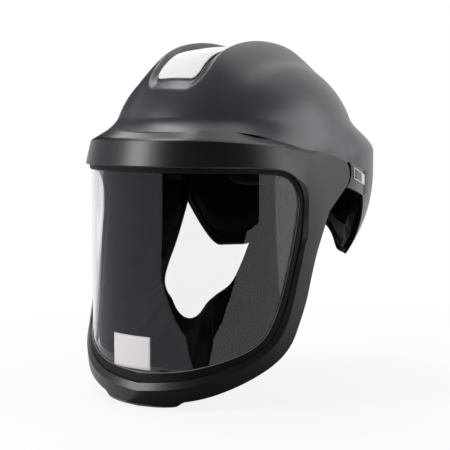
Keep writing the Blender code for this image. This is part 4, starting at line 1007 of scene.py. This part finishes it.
def ray_kinds(tree, where):
    """Two masks: rays that show the backdrop plain white, and the lens's faint second mirror image."""
    path = add_node(tree, "ShaderNodeLightPath").outputs
    bounces = add_node(
        tree, "ShaderNodeMath", {"operation": "ADD"},
        links={0: path["Diffuse Depth"], 1: path["Glossy Depth"]},
    )
    straight = add_node(
        tree, "ShaderNodeMath", {"operation": "LESS_THAN"}, {1: 0.5}, {0: bounces.outputs[0]},
    )
    through = add_node(
        tree, "ShaderNodeMath", {"operation": "MULTIPLY"}, links={
            0: path["Is Transmission Ray"], 1: straight.outputs[0],
        }
    )
    seen = add_node(
        tree, "ShaderNodeMath", {"operation": "MAXIMUM"},
        links={0: path["Is Camera Ray"], 1: through.outputs[0]},
    )
    seen = add_node(
        tree, "ShaderNodeMath", {"operation": "MAXIMUM"},
        links={0: seen.outputs[0], 1: path["Is Glossy Ray"]},
    )
    spread = add_node(tree, "ShaderNodeSeparateXYZ", links={0: where}).outputs["Y"]
    front = add_node(tree, "ShaderNodeMath", {"operation": "LESS_THAN"}, {1: 0.0}, {0: spread})
    second = add_node(
        tree, "ShaderNodeMath", {"operation": "SUBTRACT"}, links={
            0: path["Is Transmission Ray"], 1: through.outputs[0],
        }
    )
    second = add_node(
        tree, "ShaderNodeMath", {"operation": "MULTIPLY"}, links={0: second.outputs[0], 1: front.outputs[0]},
    )
    return seen.outputs[0], second.outputs[0]


def glow(name, base, shadow_share):
    """A white surface that the camera, mirrors and glass see as plain white, with a share left for shadow."""
    made = bpy.data.materials.new(name)
    made.use_nodes = True
    tree = made.node_tree
    tree.nodes.clear()
    where = add_node(tree, "ShaderNodeNewGeometry").outputs["Position"]
    seen, second = ray_kinds(tree, where)
    away = add_node(tree, "ShaderNodeVectorMath", {"operation": "LENGTH"}, links={0: where})
    white = add_node(
        tree,
        "ShaderNodeMapRange",
        {"interpolation_type": "SMOOTHSTEP"},
        {"From Min": 0.25, "From Max": 0.7, "To Min": 1.0 - shadow_share, "To Max": 1.0},
        {"Value": away.outputs["Value"]},
    )
    share = add_node(
        tree, "ShaderNodeMath", {"operation": "MULTIPLY"}, links={0: seen, 1: white.outputs["Result"]},
    )
    share = add_node(
        tree, "ShaderNodeMath", {"operation": "MAXIMUM"}, links={0: share.outputs[0], 1: second},
    )
    matt = add_node(tree, "ShaderNodeBsdfDiffuse", inputs={"Color": colour(base)})
    lit = add_node(tree, "ShaderNodeMath", {"operation": "SUBTRACT"}, {0: 1.0}, {1: second})
    light = add_node(
        tree, "ShaderNodeEmission", inputs={
            "Color": (1.0, 1.0, 1.0, 1.0)
        }, links={"Strength": lit.outputs[0]}
    )
    mix = add_node(
        tree, "ShaderNodeMixShader", links={0: share.outputs[0], 1: matt.outputs[0], 2: light.outputs[0]},
    )
    add_node(tree, "ShaderNodeOutputMaterial", links={"Surface": mix.outputs[0]})
    return made


rows = [[Vector((x, y, LOWEST - 0.0005)) for x in (-4.0, 4.0)] for y in (-4.0, 4.0)]
floor = grid_piece("studio_floor", rows)
floor.data.materials.append(glow("floor_white", "#f2f2f2", 0.15))

world = bpy.data.worlds.new("white surroundings")
scene.world = world
world.use_nodes = True
tree = world.node_tree
tree.nodes.clear()
seen, second = ray_kinds(tree, add_node(tree, "ShaderNodeTexCoord").outputs["Generated"])
level = add_node(tree, "ShaderNodeMapRange", inputs={"To Min": 0.32, "To Max": 1.0}, links={"Value": seen})
strength = add_node(
    tree, "ShaderNodeMapRange", inputs={"To Max": 0.0}, links={
        "Value": second, "To Min": level.outputs["Result"],
    }
)
back = add_node(
    tree, "ShaderNodeBackground", inputs={"Color": (1.0, 1.0, 1.0, 1.0)},
    links={"Strength": strength.outputs["Result"]},
)
add_node(tree, "ShaderNodeOutputWorld", links={"Surface": back.outputs[0]})
print("floor at", round(LOWEST, 4))


# %% Lamps
def soft_light(name, spot, size, power):
    lamp = bpy.data.objects.new(name, bpy.data.lights.new(name, "AREA"))
    lamp.data.shape = "RECTANGLE"
    lamp.data.size, lamp.data.size_y = size
    lamp.data.energy = power
    lamp.location = spot
    lamp.rotation_euler = (-Vector(spot)).to_track_quat("-Z", "Y").to_euler()
    scene.collection.objects.link(lamp)


soft_light("key", (-0.60, 0.10, 1.20), (0.4, 0.4), 3.6)
soft_light("overhead", (-0.3, 0.35, 1.3), (1.4, 1.2), 4.2)
soft_light("back left", (-0.85, 0.87, 0.80), (0.6, 0.5), 3.5)
soft_light("left front", (-0.80, -1.15, 0.42), (0.45, 0.7), 11.0)
soft_light("right side", (1.32, 0.28, 0.45), (0.7, 0.9), 5.5)
soft_light("right back", (1.1, 1.0, 0.5), (0.6, 1.0), 5.0)


# %% Cards
# The cards are seen only by mirrors, so they change reflections and nothing else.
CARD_LIFT, WALL_REACH, WALL_HEIGHT, TENT_RADIUS = 0.002, 1.95, 1.5, 2.6


def card(name, code, edges):
    """A sheet over the floor and up a far wall, between two bearings at each distance from the object."""
    cloth, tree, shader = start_material(
        name + "_cloth", Base_Color=colour("#000000"), Roughness=1.0, Specular_IOR_Level=0.0
    )
    shader.inputs["Emission Color"].default_value = colour(code)
    shader.inputs["Emission Strength"].default_value = 1.0
    rows = []
    for reach, height, start, end in edges:
        bearings = [math.radians(blend(start, end, i / 16)) for i in range(17)]
        rows.append(
            [Vector((reach * math.sin(a), -reach * math.cos(a), LOWEST + height)) for a in bearings]
        )
    sheet = grid_piece(name, rows)
    sheet.data.materials.append(cloth)
    sheet.visible_camera = sheet.visible_diffuse = sheet.visible_shadow = sheet.visible_transmission = False


# Distance from the object, then the bearings where the card starts and ends.
DARK = [
    (0.30, 18, 26), (0.48, 11, 32), (0.70, -3, 43), (0.98, -12, 51),
    (1.30, -12, 56), (1.70, -12, 62), (1.90, -12, 73),
]
card(
    "dark_card", "#000000",
    [(r, CARD_LIFT, a, b) for r, a, b in DARK] + [(WALL_REACH, WALL_HEIGHT, -12, 75)],
)
card(
    "white_card", "#f6f0f8",
    [(r, CARD_LIFT, b, 150) for r, a, b in DARK] + [(WALL_REACH, WALL_HEIGHT, 75, 150)],
)
GREY = [(0.30, -100, 18), (0.48, -100, 11), (0.70, -100, -3), (0.98, -100, -12), (1.90, -100, -12)]
card(
    "grey_card", "#c4c0cc",
    [(r, CARD_LIFT, a, b) for r, a, b in GREY] + [(WALL_REACH, WALL_HEIGHT, -100, -12)],
)
slopes = [math.radians(e) for e in (11, 20, 35, 50, 65, 80, 89)]
TENT = [(TENT_RADIUS * math.cos(e), TENT_RADIUS * math.sin(e), -150, 120) for e in slopes]
card("dark_tent", "#2a2a2e", TENT)
card("chin_card", "#38353a", [(0.06, CARD_LIFT, -5, 170), (0.29, CARD_LIFT, -5, 170)])
print("studio ready")
